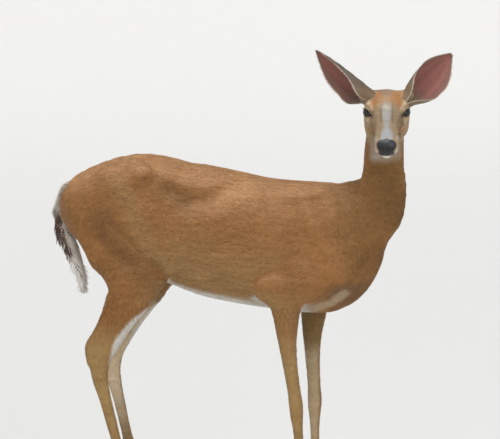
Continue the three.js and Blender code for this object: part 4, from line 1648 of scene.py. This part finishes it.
@dataclass(frozen=True)
class HairFinish:
    """The coat: dull hair with a faint lustre."""

    rough: float = 0.62
    sheen: float = 0.12

    def build(self) -> Dress:
        """Makes the material.

        Returns:
            The material.
        """
        m = Maker("hair")
        mottle = m.noise(m.stretched((22.0, 90.0, 60.0)), 8.0, 5.0)
        tone = m.streaked(0.22, mottle, tint(90, 60, 40), tint(255, 236, 208))
        strands = m.noise(m.stretched((260.0, 1900.0, 900.0)), 1.0, 2.0)
        inputs = {"Base Color": tone, "Roughness": self.rough + 0.2 * (strands - 0.5)}
        inputs["Normal"] = m.bump(strands, 0.0003, 0.6)
        inputs |= {"Sheen Weight": self.sheen, "Sheen Roughness": 0.5}
        return m.surface(inputs | {"Specular IOR Level": 0.32})


@dataclass(frozen=True)
class EyeFinish:
    """A dark wet eye: brown iris, long level pupil, clear cornea."""

    iris: Colour = (22, 15, 12)
    ring: Colour = (18, 12, 10)
    pupil: Colour = (5, 6, 10)

    def build(self) -> Dress:
        """Makes the material.

        Returns:
            The material.
        """
        m = Maker("eye")
        gaze = m.make("ShaderNodeSeparateXYZ", {}, {0: m.read("gaze", "Vector")})
        across = Wire(m, gaze.socket.node.outputs[1])
        far = Wire(m, gaze.socket.node.outputs[2])
        pupil = (gaze * gaze * 6.5 + across * across * 22.0).step(1.15, 0.8)
        streaks = m.noise(m.read("gaze", "Vector"), 24.0, 3.0)
        iris = m.mix(streaks, tint(*self.iris) * 0.55, tint(*self.iris) * 1.5)
        ball = m.mix(far.step(0.72, 0.86), iris, tint(*self.ring))
        inputs = {"Base Color": m.mix(pupil, ball, tint(*self.pupil)), "Roughness": 0.12 + 0.06 * streaks}
        inputs["Normal"] = m.bump(streaks, 0.0001, 0.3)
        return m.surface(inputs | {"Coat Weight": 0.6, "Coat Roughness": 0.04, "Specular IOR Level": 0.2})


@dataclass(frozen=True)
class HornFinish:
    """Dark horn of hooves and dewclaws, ringed as it grew and scuffed near the ground."""

    dark: Colour = (38, 32, 29)
    pale: Colour = (104, 88, 74)

    def build(self) -> Dress:
        """Makes the material.

        Returns:
            The material.
        """
        m = Maker("horn")
        place = m.make("ShaderNodeTexCoord", {}, {}, "Object")
        height = Wire(m, m.make("ShaderNodeSeparateXYZ", {}, {0: place}).socket.node.outputs[2])
        rings = m.noise(m.stretched((30.0, 30.0, 420.0)), 1.0, 3.0)
        grain = m.noise(m.stretched((700.0, 700.0, 60.0)), 1.0, 3.0)
        scuff = m.noise(m.stretched((90.0, 90.0, 90.0)), 1.0, 4.0) * height.step(0.016, 0.0)
        tone = m.mix(rings * 0.8, tint(*self.dark), tint(*self.pale))
        tone = m.mix(scuff * 0.7, tone, tint(128, 112, 96))
        inputs = {"Base Color": tone, "Roughness": 0.34 + 0.3 * scuff + 0.1 * grain}
        inputs["Normal"] = m.bump(rings * 0.7 + grain * 0.3, 0.0007, 0.9)
        return m.surface(inputs | {"Specular IOR Level": 0.5})


@dataclass(frozen=True)
class FloorFinish:
    """The studio's plain pale floor."""

    tone: Colour = (228, 226, 222)

    def build(self) -> Dress:
        """Makes the material.

        Returns:
            The material.
        """
        m = Maker("floor")
        cloud = m.noise(m.stretched((1.0, 1.0, 1.0)), 0.7, 2.0)
        tone = m.mix(cloud * 0.25, tint(*self.tone), tint(*self.tone) * 0.94)
        return m.surface({"Base Color": tone, "Roughness": 0.8 + 0.05 * cloud, "Specular IOR Level": 0.2})


# ------------ eyes, hooves and dewclaws


@dataclass
class Eye:
    """One eyeball with its bulging cornea."""

    s: float
    rows: int = 72
    columns: int = 96
    pole: float = 0.004
    cornea: float = 1.1
    tilt: float = 14.0  # of the long pupil, in degrees

    def build(self) -> Piece:
        """Makes the eyeball, with the angles that its finish is drawn by.

        Returns:
            The eyeball.
        """
        opening = OPENINGS[self.s]
        polar, turn = rings(np.linspace(self.pole, math.pi - self.pole, self.rows), self.columns)
        out, front, up = opening.axes()
        across = np.cos(turn)[..., None] * front + np.sin(turn)[..., None] * up
        way = (np.cos(polar)[..., None] * out + np.sin(polar)[..., None] * across).reshape(-1, 3)
        reach = EYE_RADIUS - 0.2 + self.cornea * fade(polar.ravel(), 0.75, 0.25)
        points = PLACE.from_head(opening.centre + way * reach[:, None])
        piece = closed_piece(f"eyeball_{SIDE_NAMES[self.s]}", points, self.rows, self.columns)
        ahead, above = way @ front, way @ up
        tilt = math.radians(self.tilt) * self.s * -1.0
        turned = ahead * math.cos(tilt) - above * math.sin(tilt)
        raised = ahead * math.sin(tilt) + above * math.cos(tilt)
        give(piece, "gaze", np.stack([turned, raised, polar.ravel()], axis=1))
        return piece


@dataclass
class Hoof:
    """One claw of a cloven hoof, with growth rings."""

    node: str
    outward: float
    rows: int = 26
    columns: int = 64
    height: float = 37.0
    heel: float = 23.0
    ring_depth: float = 0.28

    def build(self) -> Piece:
        """Makes the claw inside its node's box.

        Returns:
            The claw.
        """
        low, high = node_box(self.node)
        length, width = (high[0] - low[0]) / 1.06, high[1] - low[1]
        middle = low[0] + 0.5 * length
        inner = low[1] if self.outward > 0 else high[1]
        up, turn = rings(np.linspace(0, 1, self.rows), self.columns)
        front = np.interp(up, [0, 0.22, 0.5, 1.0], [0.56, 0.49, 0.37, 0.17]) * length
        back = np.interp(up, [0, 0.3, 1.0], [-0.455, -0.475, -0.40]) * length
        t = 0.5 - 0.5 * np.cos(turn)
        x = back + (front - back) * t
        belly = np.where(t > 0.32, 1 - np.abs((t - 0.32) / 0.68) ** 2.1, 1 - np.abs((0.32 - t) / 0.32) ** 3.2)
        side = np.sin(turn) >= 0
        full = np.sqrt(np.maximum(belly, 0.0))
        y = np.where(side, 0.97 * width * full, 0.05 * width * (1 - full)) * (1.0 - 0.10 * up)
        z = up * (self.heel + (self.height - self.heel) * np.clip((x / length + 0.4) / 0.57, 0.0, 1.15))
        edge = fade(up, 0.05, 0)
        ripple = self.ring_depth * np.sin(z * 1.9) * fade(up, 0.05, 0.2)
        y = y + np.where(side, ripple - 1.1 * edge, 0.5 * edge)
        x = middle + x + ripple * (t - 0.3)
        points = np.stack([x, inner + self.outward * y, z], axis=-1).reshape(-1, 3)
        points, caps = self.capped(points)
        faces = np.concatenate([grid_faces(self.rows, self.columns, True), *caps])
        return make_object(self.node.replace("hoof", "claw"), points, outward(points, faces))

    def capped(self, points: Array) -> tuple[Array, list[Array]]:
        """Adds a sole and a top to the rings.

        Args:
            points: The rings' points.

        Returns:
            All points, and the faces of both ends.
        """
        count, caps = self.columns, []
        for start, turn in ((0, 1), ((self.rows - 1) * self.columns, -1)):
            ring = points[start : start + count]
            inner = len(points)
            middle = ring.mean(axis=0)
            points = np.concatenate([points, *(middle + (ring - middle) * part for part in (0.5, 0.02))])
            n = np.arange(count)
            m = (n + 1) % count
            for outer, within_it in ((start, inner), (inner, inner + count)):
                caps.append(np.stack([outer + n, within_it + n, within_it + m, outer + m], axis=1)[:, ::turn])
        return points, caps


@dataclass
class Dewclaw:
    """A small horn claw behind the pastern."""

    node: str
    rows: int = 20
    columns: int = 24

    def build(self) -> Piece:
        """Makes the claw inside its node's box.

        Returns:
            The claw.
        """
        low, high = node_box(self.node)
        middle, half = (low + high) / 2.0, (high - low) / 2.0
        up, turn = rings(np.linspace(-1, 1, self.rows), self.columns)
        bulge = np.sqrt(np.clip(1 - np.abs(up) ** 2.6, 0.0004, 1)) * (0.88 + 0.12 * up)
        bulge = bulge + 0.02 * np.sin(up * 26.0)
        x = middle[0] + half[0] * (0.72 * bulge * np.cos(turn) + 0.26 * up)
        y = middle[1] + half[1] * 0.96 * bulge * np.sin(turn)
        points = np.stack([x, y, middle[2] + half[2] * up], axis=-1).reshape(-1, 3)
        return closed_piece(self.node + "_horn", points, self.rows, self.columns)


# ------------ the coat


class Region(Enum):
    """The pieces of the coat, and how many tufts each holds."""

    HEAD = ("coat_head", 49000)
    NECK = ("coat_neck", 38000)
    CHEST_LEFT = ("coat_chest_left", 30000)
    CHEST_RIGHT = ("coat_chest_right", 34000)
    FLANK_LEFT = ("coat_flank_left", 30000)
    FLANK_RIGHT = ("coat_flank_right", 34000)
    RUMP_LEFT = ("coat_rump_left", 30000)
    RUMP_RIGHT = ("coat_rump_right", 34000)
    FORE_LEGS = ("coat_fore_legs", 30000)
    HIND_LEGS = ("coat_hind_legs", 34000)
    TAIL = ("coat_tail", 13000)
    EARS = ("coat_ears", 15000)

    @property
    def piece(self) -> str:
        """The name of its piece."""
        return self.value[0]

    @property
    def tufts(self) -> int:
        """How many tufts it holds."""
        return self.value[1]


@dataclass
class Roots:
    """Where tufts grow."""

    points: Array
    normals: Array
    uv: Array
    tones: Array


@dataclass
class Cut:
    """The make of tufts: their way, length, half width and how high their tips stand."""

    way: Array
    length: Array
    half: Array
    lift: Array


@dataclass
class Coat:
    """Tufts of hair over the skin, lying as a deer's coat lies."""

    skin: Piece
    patch: float = 0.0015  # half of each tuft's patch on the map
    sink: float = 0.4  # how deep roots stand
    cut_at: float = 150.0  # where chest, flank and rump meet
    head_back: float = -82.0
    head_reach: float = 230.0
    neck_from: float = 330.0
    legs_top: float = 545.0

    def __post_init__(self) -> None:
        """Reads the skin's triangles."""
        skin, mesh = self.skin, self.skin.data
        mesh.calc_loop_triangles()
        self.corner = read(mesh.loop_triangles, "vertices", 3, np.int32)
        self.loop = read(mesh.loop_triangles, "loops", 3, np.int32)
        self.points, self.normals = points_of(skin), normals_of(skin)
        self.uv = read(mesh.uv_layers["OFBake"].data, "uv", 2).astype(float)
        self.tones = read(mesh.color_attributes["tone"].data, "color", 4)[:, :3].astype(float)
        shell = read(mesh.attributes["shell"].data, "value", 1)[:, 0]
        a, b, c = (self.points[self.corner[:, i]] for i in range(3))
        self.area = np.linalg.norm(np.cross(b - a, c - a), axis=1) / 2.0
        self.middle = (a + b + c) / 3.0
        self.way_out = unit(np.cross(b - a, c - a))
        self.shell = shell[self.corner[:, 0]]

    def scatter(self, weight: Array, count: int) -> Roots:
        """Places roots over the triangles, as thickly as their weight says.

        Args:
            weight: How thickly they stand on each triangle.
            count: How many.

        Returns:
            The roots.
        """
        total = np.cumsum(weight * self.area)
        pick = np.searchsorted(total, RNG.uniform(0.0, total[-1], count))
        a, b = np.sqrt(RNG.uniform(size=count)), RNG.uniform(size=count)
        share = np.stack([1 - a, a * (1 - b), a * b], axis=1)[:, :, None]
        corner, loop = self.corner[pick], self.loop[pick]
        return Roots(
            (self.points[corner] * share).sum(axis=1), unit((self.normals[corner] * share).sum(axis=1)),
            (self.uv[loop] * share).sum(axis=1), (self.tones[corner] * share).sum(axis=1))

    def region(self) -> dict[Region, Array]:
        """Which triangles belong to each piece.

        Returns:
            A mask of triangles for each.
        """
        x, y, z = self.middle.T
        local = PLACE.to_head(self.middle)
        ear = (self.shell > 0.5) & (self.shell < 1.5)
        plain = self.shell < 0.5
        close = np.linalg.norm(local, axis=1) < self.head_reach
        head = plain & (local[:, 0] > self.head_back) & close & (z > 900.0)
        tail = plain & (FLESH.tail_skin(self.middle) < 6.0) & (x < -384.0)
        body = plain & ~head & ~tail
        neck = body & (x > self.neck_from) & (z > 1130.0 - x)
        legs = body & ~neck & (z < self.legs_top)
        trunk = body & ~neck & ~legs
        ahead, behind = x > self.cut_at, x <= -self.cut_at
        parts = {"CHEST": trunk & ahead, "FLANK": trunk & ~ahead & ~behind, "RUMP": trunk & behind}
        out = {Region.HEAD: head, Region.NECK: neck, Region.TAIL: tail, Region.EARS: ear}
        out |= {Region.FORE_LEGS: legs & (x > 0), Region.HIND_LEGS: legs & (x <= 0)}
        for name, mask in parts.items():
            out |= {Region[name + "_LEFT"]: mask & (y > 0.0), Region[name + "_RIGHT"]: mask & (y <= 0.0)}
        return out

    @staticmethod
    def lie(points: Array, normals: Array) -> Array:
        """The way the hair lies, along the skin.

        Args:
            points: Places in body millimetres.
            normals: The way each faces.

        Returns:
            The directions.
        """
        x, _, z = points.T
        local = PLACE.to_head(points)
        way = np.tile([-1.0, 0.0, -0.16], (len(points), 1))

        def lean(target: Row, mask: Array) -> None:
            """Turns the lie towards a direction."""
            way[:] = blend(way, target, mask)

        lean((-0.62, 0, -0.78), fade(x, -150, -270) * fade(z, 870, 720))
        lean((-0.85, 0, -0.5), fade(x, -330, -390) * fade(z, 740, 800))
        lean((-0.45, 0, -0.9), fade(x, 200, 330) * fade(z, 850, 720))
        lean((-0.2, 0.1, -1.0), fade(x, 340, 400) * fade(z, 740, 840))
        lean((-0.12, 0, -1.0), fade(x, 380, 425) * fade(z, 820, 740))
        lean((-0.14, 0, -1.0), fade(z, 600, 500))
        on_head = fade(local[:, 0], -95, -60) * fade(np.linalg.norm(local, axis=1), 235, 200)
        lean(PLACE.head_vector((-1.0, 0.0, 0.1)), on_head)
        lean(PLACE.head_vector((-0.9, 0.0, -0.35)), on_head * fade(local[:, 2], 0, -30))
        for ear in EARS.values():
            lean(PLACE.head_vector(unit(ear.frame_lines()[0])), ear.base(local))
        tail = fade(FLESH.tail_skin(points), 8, 2) * fade(x, -380, -400)
        lean((-0.25, 0, -1.0), tail * fade(z, 700, 780))
        lean((0.34, 0, -1.0), tail * fade(z, 780, 700))
        way = way - (way * normals).sum(axis=1, keepdims=True) * normals
        return unit(way + 1e-6)

    def make(self) -> list[tuple[Piece, Region]]:
        """Makes every piece of the coat.

        Returns:
            The pieces and what each is.
        """
        out = []
        for region, mask in self.region().items():
            roots = self.scatter(mask * self.thickness(region), region.tufts)
            cut = self.cut(region, roots)
            out.append((self.comb(region.piece, roots, cut, region is not Region.EARS), region))
        return out

    def thickness(self, region: Region) -> Array:
        """How thickly tufts grow on each triangle.

        Args:
            region: The piece of the coat.

        Returns:
            A weight for each triangle.
        """
        local = PLACE.to_head(self.middle)
        z = self.middle[:, 2]
        if region is Region.HEAD:
            bare = nose_mask(local)
            for opening in OPENINGS.values():
                near = np.linalg.norm(local - opening.centre, axis=1) < 40.0
                bare = np.maximum(bare, near * fade(opening.spread(local), 1.45, 1.2))
            return (1.0 - fade(bare, 0.3, 0.6)) * (0.6 + 1.2 * fade(local[:, 0], -20, 60))
        if region is Region.EARS:
            inner = fade((self.way_out * self.ear_open(self.middle)).sum(axis=1), -0.2, 0.2)
            return 1.0 - 0.93 * inner
        if region in (Region.FORE_LEGS, Region.HIND_LEGS):
            return (0.6 + 0.9 * fade(z, 420, 200)) * fade(z, 6, 12)
        return np.ones(len(z))

    @staticmethod
    def ear_open(points: Array) -> Array:
        """The way each ear opens, for points on either ear.

        Args:
            points: Places in body millimetres.

        Returns:
            The directions.
        """
        local = PLACE.to_head(points)
        left, right = (PLACE.head_vector(EARS[s].frame_lines()[1]) for s in SIDES)
        return np.where(local[:, 1:2] > 0, left, right)

    def cut(self, region: Region, roots: Roots) -> Cut:
        """How the tufts of a region are cut.

        Args:
            region: The piece of the coat.
            roots: Where its tufts grow.

        Returns:
            The cut.
        """
        points, count = roots.points, len(roots.points)
        x, _, z = points.T
        local = PLACE.to_head(points)
        way = self.lie(points, roots.normals)
        length = np.full(count, 15.0)
        lift = np.full(count, 3.1)
        if region is Region.HEAD:
            length = 9.5 - 3.0 * fade(local[:, 0], -60, 0) - 3.2 * fade(local[:, 0], 0, 90)
            near = np.min([o.spread(local) for o in OPENINGS.values()], axis=0)
            length = length * (0.45 + 0.55 * fade(near, 1.2, 4)) * (1.0 - 0.4 * fade(local[:, 0], 110, 140))
            length = length + 9.0 * sum(ear.base(local) for ear in EARS.values())
            lift = 0.13 * length + 0.25
        elif region is Region.EARS:
            way, length, lift = self.ear_cut(roots)
        elif region is Region.TAIL:
            length = (30.0 + 16.0 * fade(z, 840, 740)) * (1.0 - 0.45 * fade(z, 640, 560))
            lift = np.full(count, 4.6)
        else:
            length = 15.0 + 4.0 * fade(x, -300, -400) + 4.0 * fade(-roots.normals[:, 2], 0.4, 0.9)
            length = length * (1.0 - 0.5 * fade(z, 560, 400) - 0.15 * fade(z, 200, 80))
            lift = 3.2 - 1.5 * fade(z, 560, 430) - 0.5 * fade(z, 120, 60)
        flare = tail_root(points)
        length, lift = length + 6.0 * flare, lift + 11.0 * flare
        length = length * RNG.uniform(0.72, 1.22, count)
        lift = lift * RNG.uniform(0.45, 1.3, count)
        spin = RNG.normal(0.0, 0.13, count)[:, None]
        way = unit(way * np.cos(spin) + np.cross(roots.normals, way) * np.sin(spin))
        half = 0.034 * length + 0.14 if region is Region.EARS else 0.062 * length + 0.22
        return Cut(way, length, half, lift)

    def ear_cut(self, roots: Roots) -> tuple[Array, Array, Array]:
        """Ear hair: short on the back, longer and paler along the open edges and at the base.

        Args:
            roots: Where its tufts grow.

        Returns:
            Their way, length and lift.
        """
        local = PLACE.to_head(roots.points)
        left = local[:, 1] > 0
        lines = [EARS[s].frame_lines() for s in SIDES]
        pick = np.where(left, 0, 1)
        spine = np.array([PLACE.head_vector(line[0]) for line in lines])[pick]
        front = np.array([PLACE.head_vector(line[1]) for line in lines])[pick]
        root = np.array([PLACE.from_head(EARS[s].root) for s in SIDES])[pick]
        length = np.linalg.norm(spine, axis=1)
        v = ((roots.points - root) * spine).sum(axis=1) / length**2
        inner = fade((roots.normals * front).sum(axis=1), 0.1, 0.5)
        way = spine / length[:, None]
        across = roots.points - root - spine * v[:, None]
        way = way + (across / 60.0) * (0.5 - 1.1 * inner)[:, None] * fade(v, 0, 0.3)[:, None]
        way = way - (way * roots.normals).sum(axis=1, keepdims=True) * roots.normals
        long = 6.5 + 6.0 * fade(v, 0.22, 0.02) + inner * (1.5 * fade(v, 0.4, 0.05) - 1.5)
        pale = inner * fade(v, 0.4, 0.1) * RNG.uniform(0.0, 0.7, len(v))
        roots.tones[:] = blend(roots.tones, PALETTE.rim * 0.85, pale)
        return unit(way), long, 0.8 + inner * (0.4 + 1.6 * fade(v, 0.4, 0.1))

    def comb(self, name: str, roots: Roots, cut: Cut, follows: bool) -> Piece:
        """Makes tufts as ridged leaves of hair, each lying along the skin.

        Args:
            name: The piece's name.
            roots: Where they grow.
            cut: How they are cut.
            follows: Whether they are bent to follow the skin's own field.

        Returns:
            The piece.
        """
        count = len(roots.points)
        normal, way = roots.normals, cut.way
        side = np.cross(normal, way)
        belly = roots.points + way * (0.42 * cut.length)[:, None]
        tip = roots.points + way * cut.length[:, None]
        if follows:
            most = 0.45 * cut.length
            belly = belly - normal * np.clip(FLESH.skin(belly), -most, most)[:, None]
            tip = tip - normal * np.clip(FLESH.skin(tip), -most, most)[:, None]
        rise = (0.5 * cut.lift)[:, None] * normal
        base = roots.points - self.sink * normal
        left = belly + rise + side * cut.half[:, None]
        right = belly + rise - side * cut.half[:, None]
        ridge = belly + rise + normal * (0.45 * cut.half)[:, None]
        sway = RNG.normal(0.0, 0.25, count)[:, None] * cut.half[:, None]
        tip = tip + normal * cut.lift[:, None] + side * sway
        points = np.stack([base, left, right, ridge, tip], axis=1).reshape(-1, 3)
        leaf = np.array([[0, 2, 3], [0, 3, 1], [2, 4, 3], [3, 4, 1]])
        faces = (leaf[None] + 5 * np.arange(count)[:, None, None]).reshape(-1, 3)
        piece = make_object(name, points, faces)
        spread = np.array([[-1.0, 0.0], [-0.4, 1.0], [-0.4, -1.0], [0.0, 0.0], [1.0, 0.0]]) * self.patch
        flat = (roots.uv[:, None, :] + spread[None]).reshape(-1, 2)[faces.ravel()]
        layer = piece.data.uv_layers.new(name="OFBake")
        layer.data.foreach_set("uv", flat.astype(np.float32).ravel())
        give_colours(piece, "tone", self.shade(roots, count))
        return piece

    @staticmethod
    def shade(roots: Roots, count: int) -> Array:
        """The colours of the tufts: streaked along the body, darker at the root and paler at the tip.

        Args:
            roots: Where its tufts grow.
            count: How many there are.

        Returns:
            A colour for each point of each tuft.
        """
        streak = Waves((70.0, 9.0, 7.0), seed=3)(roots.points)
        patches = Waves((90.0, 60.0, 60.0), seed=4)(roots.points)
        level = 1.0 + 0.075 * streak + 0.05 * patches + RNG.normal(0.0, 0.09, count)
        warm = np.stack([np.ones(count), 1.0 + 0.02 * streak, 1.0 + 0.05 * streak], axis=1)
        tone = roots.tones * np.clip(level, 0.55, 1.5)[:, None] * warm
        along = np.array([0.62, 0.92, 0.92, 1.04, 1.14])
        return np.clip(tone[:, None, :] * along[None, :, None], 0.0, 1.0).reshape(-1, 3)


@dataclass
class LongHairs:
    """The few long single hairs: whiskers of muzzle and chin, and the lashes."""

    whiskers: int = 54
    lashes: int = 34

    def build(self, coat: Coat) -> Piece:
        """Makes them as one piece.

        Args:
            coat: The coat, for its roots and its comb.

        Returns:
            The piece.
        """
        half = mirrored(PLACE.to_head(coat.middle))
        muzzle, chin = within(half, (128, 24, -50), (16, 12, 14)), within(half, (118, 8, -80), (22, 12, 9))
        roots = coat.scatter((coat.shell < 0.5) * (muzzle + chin), self.whiskers)
        stray = RNG.normal(0, 0.12, (self.whiskers, 3))
        way = unit(0.55 * roots.normals + 0.8 * Coat.lie(roots.points, roots.normals) + stray)
        roots.tones[:] = PALETTE.rim * 0.8
        lash, lash_way = self.lash_roots(coat)
        pairs = zip(vars(roots).values(), vars(lash).values())
        every = Roots(*(np.concatenate(both_kinds) for both_kinds in pairs))
        length = [RNG.uniform(16.0, 34.0, self.whiskers), RNG.uniform(6.0, 10.0, len(lash_way))]
        length = np.concatenate(length)
        cut = Cut(np.concatenate([way, lash_way]), length, np.full(len(length), 0.24), -0.10 * length)
        return coat.comb("long_hairs", every, cut, False)

    def lash_roots(self, coat: Coat) -> tuple[Roots, Array]:
        """Roots along both upper lids, and the ways they point.

        Args:
            coat: The coat, for its roots and its comb.

        Returns:
            The roots and the directions.
        """
        points, ways = [], []
        for s in SIDES:
            opening = OPENINGS[s]
            turn = np.linspace(0.35, 2.5, self.lashes)
            way = opening.directions(*opening.outline(turn))
            points.append(opening.centre + way * (EYE_RADIUS + 2.4))
            ways.append(unit(way + 0.55 * opening.axes()[2] + RNG.normal(0.0, 0.08, way.shape)))
        place, way = PLACE.from_head(np.concatenate(points)), np.concatenate(ways) @ PLACE.head_axes.T
        normal = unit(np.cross(way, PLACE.head_vector((0, 0, 1))))
        near = np.argmin(np.linalg.norm(coat.middle[None] - place[:, None], axis=2), axis=1)
        tones = np.tile(PALETTE.black, (len(place), 1))
        return Roots(place, np.cross(normal, way), coat.uv[coat.loop[near, 0]], tones), way


# ------------ studio


@dataclass
class Viewpoint:
    """The camera: level with the doe's back, a little ahead of her right side."""

    target: Row = (85.3, 0.0, 763.0)
    azimuth: float = 17.0
    elevation: float = 5.0
    distance: float = 9000.0
    focal: float = 3309.0
    frame_width: float = 500.0
    sensor: float = 36.0

    def build(self) -> Piece:
        """Makes the camera.

        Returns:
            The camera.
        """
        data = bpy.data.cameras.new("camera")
        data.sensor_fit, data.sensor_width = "HORIZONTAL", self.sensor
        data.lens = self.focal / self.frame_width * self.sensor
        data.clip_end = 200.0
        turn, rise = math.radians(self.azimuth), math.radians(self.elevation)
        way = np.array([math.sin(turn) * math.cos(rise), -math.cos(turn) * math.cos(rise), math.sin(rise)])
        camera = bpy.data.objects.new("camera", data)
        camera.location = PLACE.metres(np.asarray(self.target) + way * self.distance)
        camera.rotation_euler = (math.pi / 2 - rise, 0.0, turn)
        bpy.context.scene.collection.objects.link(camera)
        bpy.context.scene.camera = camera
        return camera


@dataclass
class Studio:
    """A plain pale floor under soft light from above."""

    flat: float = 14.0
    rim: float = 12.0
    centre: float = 0.0001
    sky: float = 0.42
    key: float = 2.3
    softness: float = 0.7
    fill: float = 40.0
    fill_width: float = 2.6
    key_place: Row = (-0.3, -2.1, 4.9)
    fill_place: Row = (3.2, -3.4, 2.2)
    sky_colour: Row = (0.86, 0.92, 1.0, 1.0)
    columns: int = 96

    def build(self) -> Piece:
        """Makes the floor, the lights and the world.

        Returns:
            The floor.
        """
        bend = np.linspace(0.0, 1.5, 16)
        reach = np.concatenate([[self.centre, 4.0, 9.0], self.flat + self.rim * np.sin(bend)])
        height = np.concatenate([[0.0] * 3, self.rim * (1.0 - np.cos(bend))])
        reach, turn = rings(reach, self.columns)
        height = np.repeat(height[:, None], self.columns, axis=1)
        points = np.stack([reach * np.cos(turn), reach * np.sin(turn), height], axis=-1).reshape(-1, 3)
        floor = make_object("floor", PLACE.millimetres(points), grid_faces(len(reach), self.columns, True))
        floor.data.materials.append(FloorFinish().build())
        self.light("key", "SUN", self.key_place, self.softness, self.key)
        self.light("fill", "AREA", self.fill_place, self.fill_width, self.fill)
        world = bpy.data.worlds.new("world")
        world.use_nodes = True
        inputs = world.node_tree.nodes["Background"].inputs
        inputs["Color"].default_value, inputs["Strength"].default_value = self.sky_colour, self.sky
        bpy.context.scene.world = world
        bpy.context.scene.view_settings.view_transform = "Standard"
        return floor

    @staticmethod
    def light(name: str, kind: str, place: Row, size: float, power: float) -> None:
        """A soft light turned to the doe's middle; its size is a width, or the angle of a far light.

        Args:
            name: Its name.
            kind: Blender's type of light.
            place: Where it stands, in metres.
            size: Its width in metres, or the angle of a sun.
            power: Its strength.
        """
        data = bpy.data.lights.new(name, kind)
        setattr(data, "angle" if kind == "SUN" else "size", size)
        data.energy = power
        lamp = bpy.data.objects.new(name, data)
        lamp.location = place
        way = np.array([0.0, 0.0, 0.75]) - np.array(place)
        tilt = math.atan2(math.hypot(way[0], way[1]), -way[2])
        lamp.rotation_euler = (tilt, 0.0, math.atan2(-way[0], way[1]))
        bpy.context.scene.collection.objects.link(lamp)


# ------------ putting her together


BODY = "root"


def settle_piece(piece: Piece, slot: str, finish: Dress, *nodes: str) -> None:
    """Dresses a piece, sets it riding on the body and hides the CAD nodes it stands for.

    Args:
        piece: The piece.
        slot: Not used.
        finish: Its material.
        nodes: The CAD nodes it stands for.
    """
    piece.data.materials.clear()
    piece.data.materials.append(finish)
    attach(piece, BODY)
    if nodes:
        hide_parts(*nodes)
    log.info("%s: %d faces", piece.name, len(piece.data.polygons))


def main() -> None:
    """Builds the doe and her studio."""
    Viewpoint().build()
    Studio().build()
    names = sorted(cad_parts)
    horny = [name for name in names if "hoof" in name or "dewclaw" in name]
    flesh = [name for name in names if name not in horny and not name.startswith("eye_")]
    skin = Skin().build()
    settle_piece(skin, "coat", HideFinish().build(), *flesh)
    eye = EyeFinish().build()
    for s in SIDES:
        settle_piece(Eye(s).build(), "eye", eye, "eye_" + SIDE_NAMES[s])
    horn = HornFinish().build()
    for name in horny:
        if "dewclaw" in name:
            settle_piece(Dewclaw(name).build(), "horn", horn, name)
        else:
            outward = 1.0 if ("left" in name) == ("outer" in name) else -1.0
            settle_piece(Hoof(name, outward).build(), "horn", horn, name)
    hair = HairFinish().build()
    coat = Coat(skin)
    for piece, region in coat.make():
        settle_piece(piece, "ear" if region is Region.EARS else "coat", hair)
    settle_piece(LongHairs().build(coat), "coat", hair)


if __name__ == "__main__":
    main()
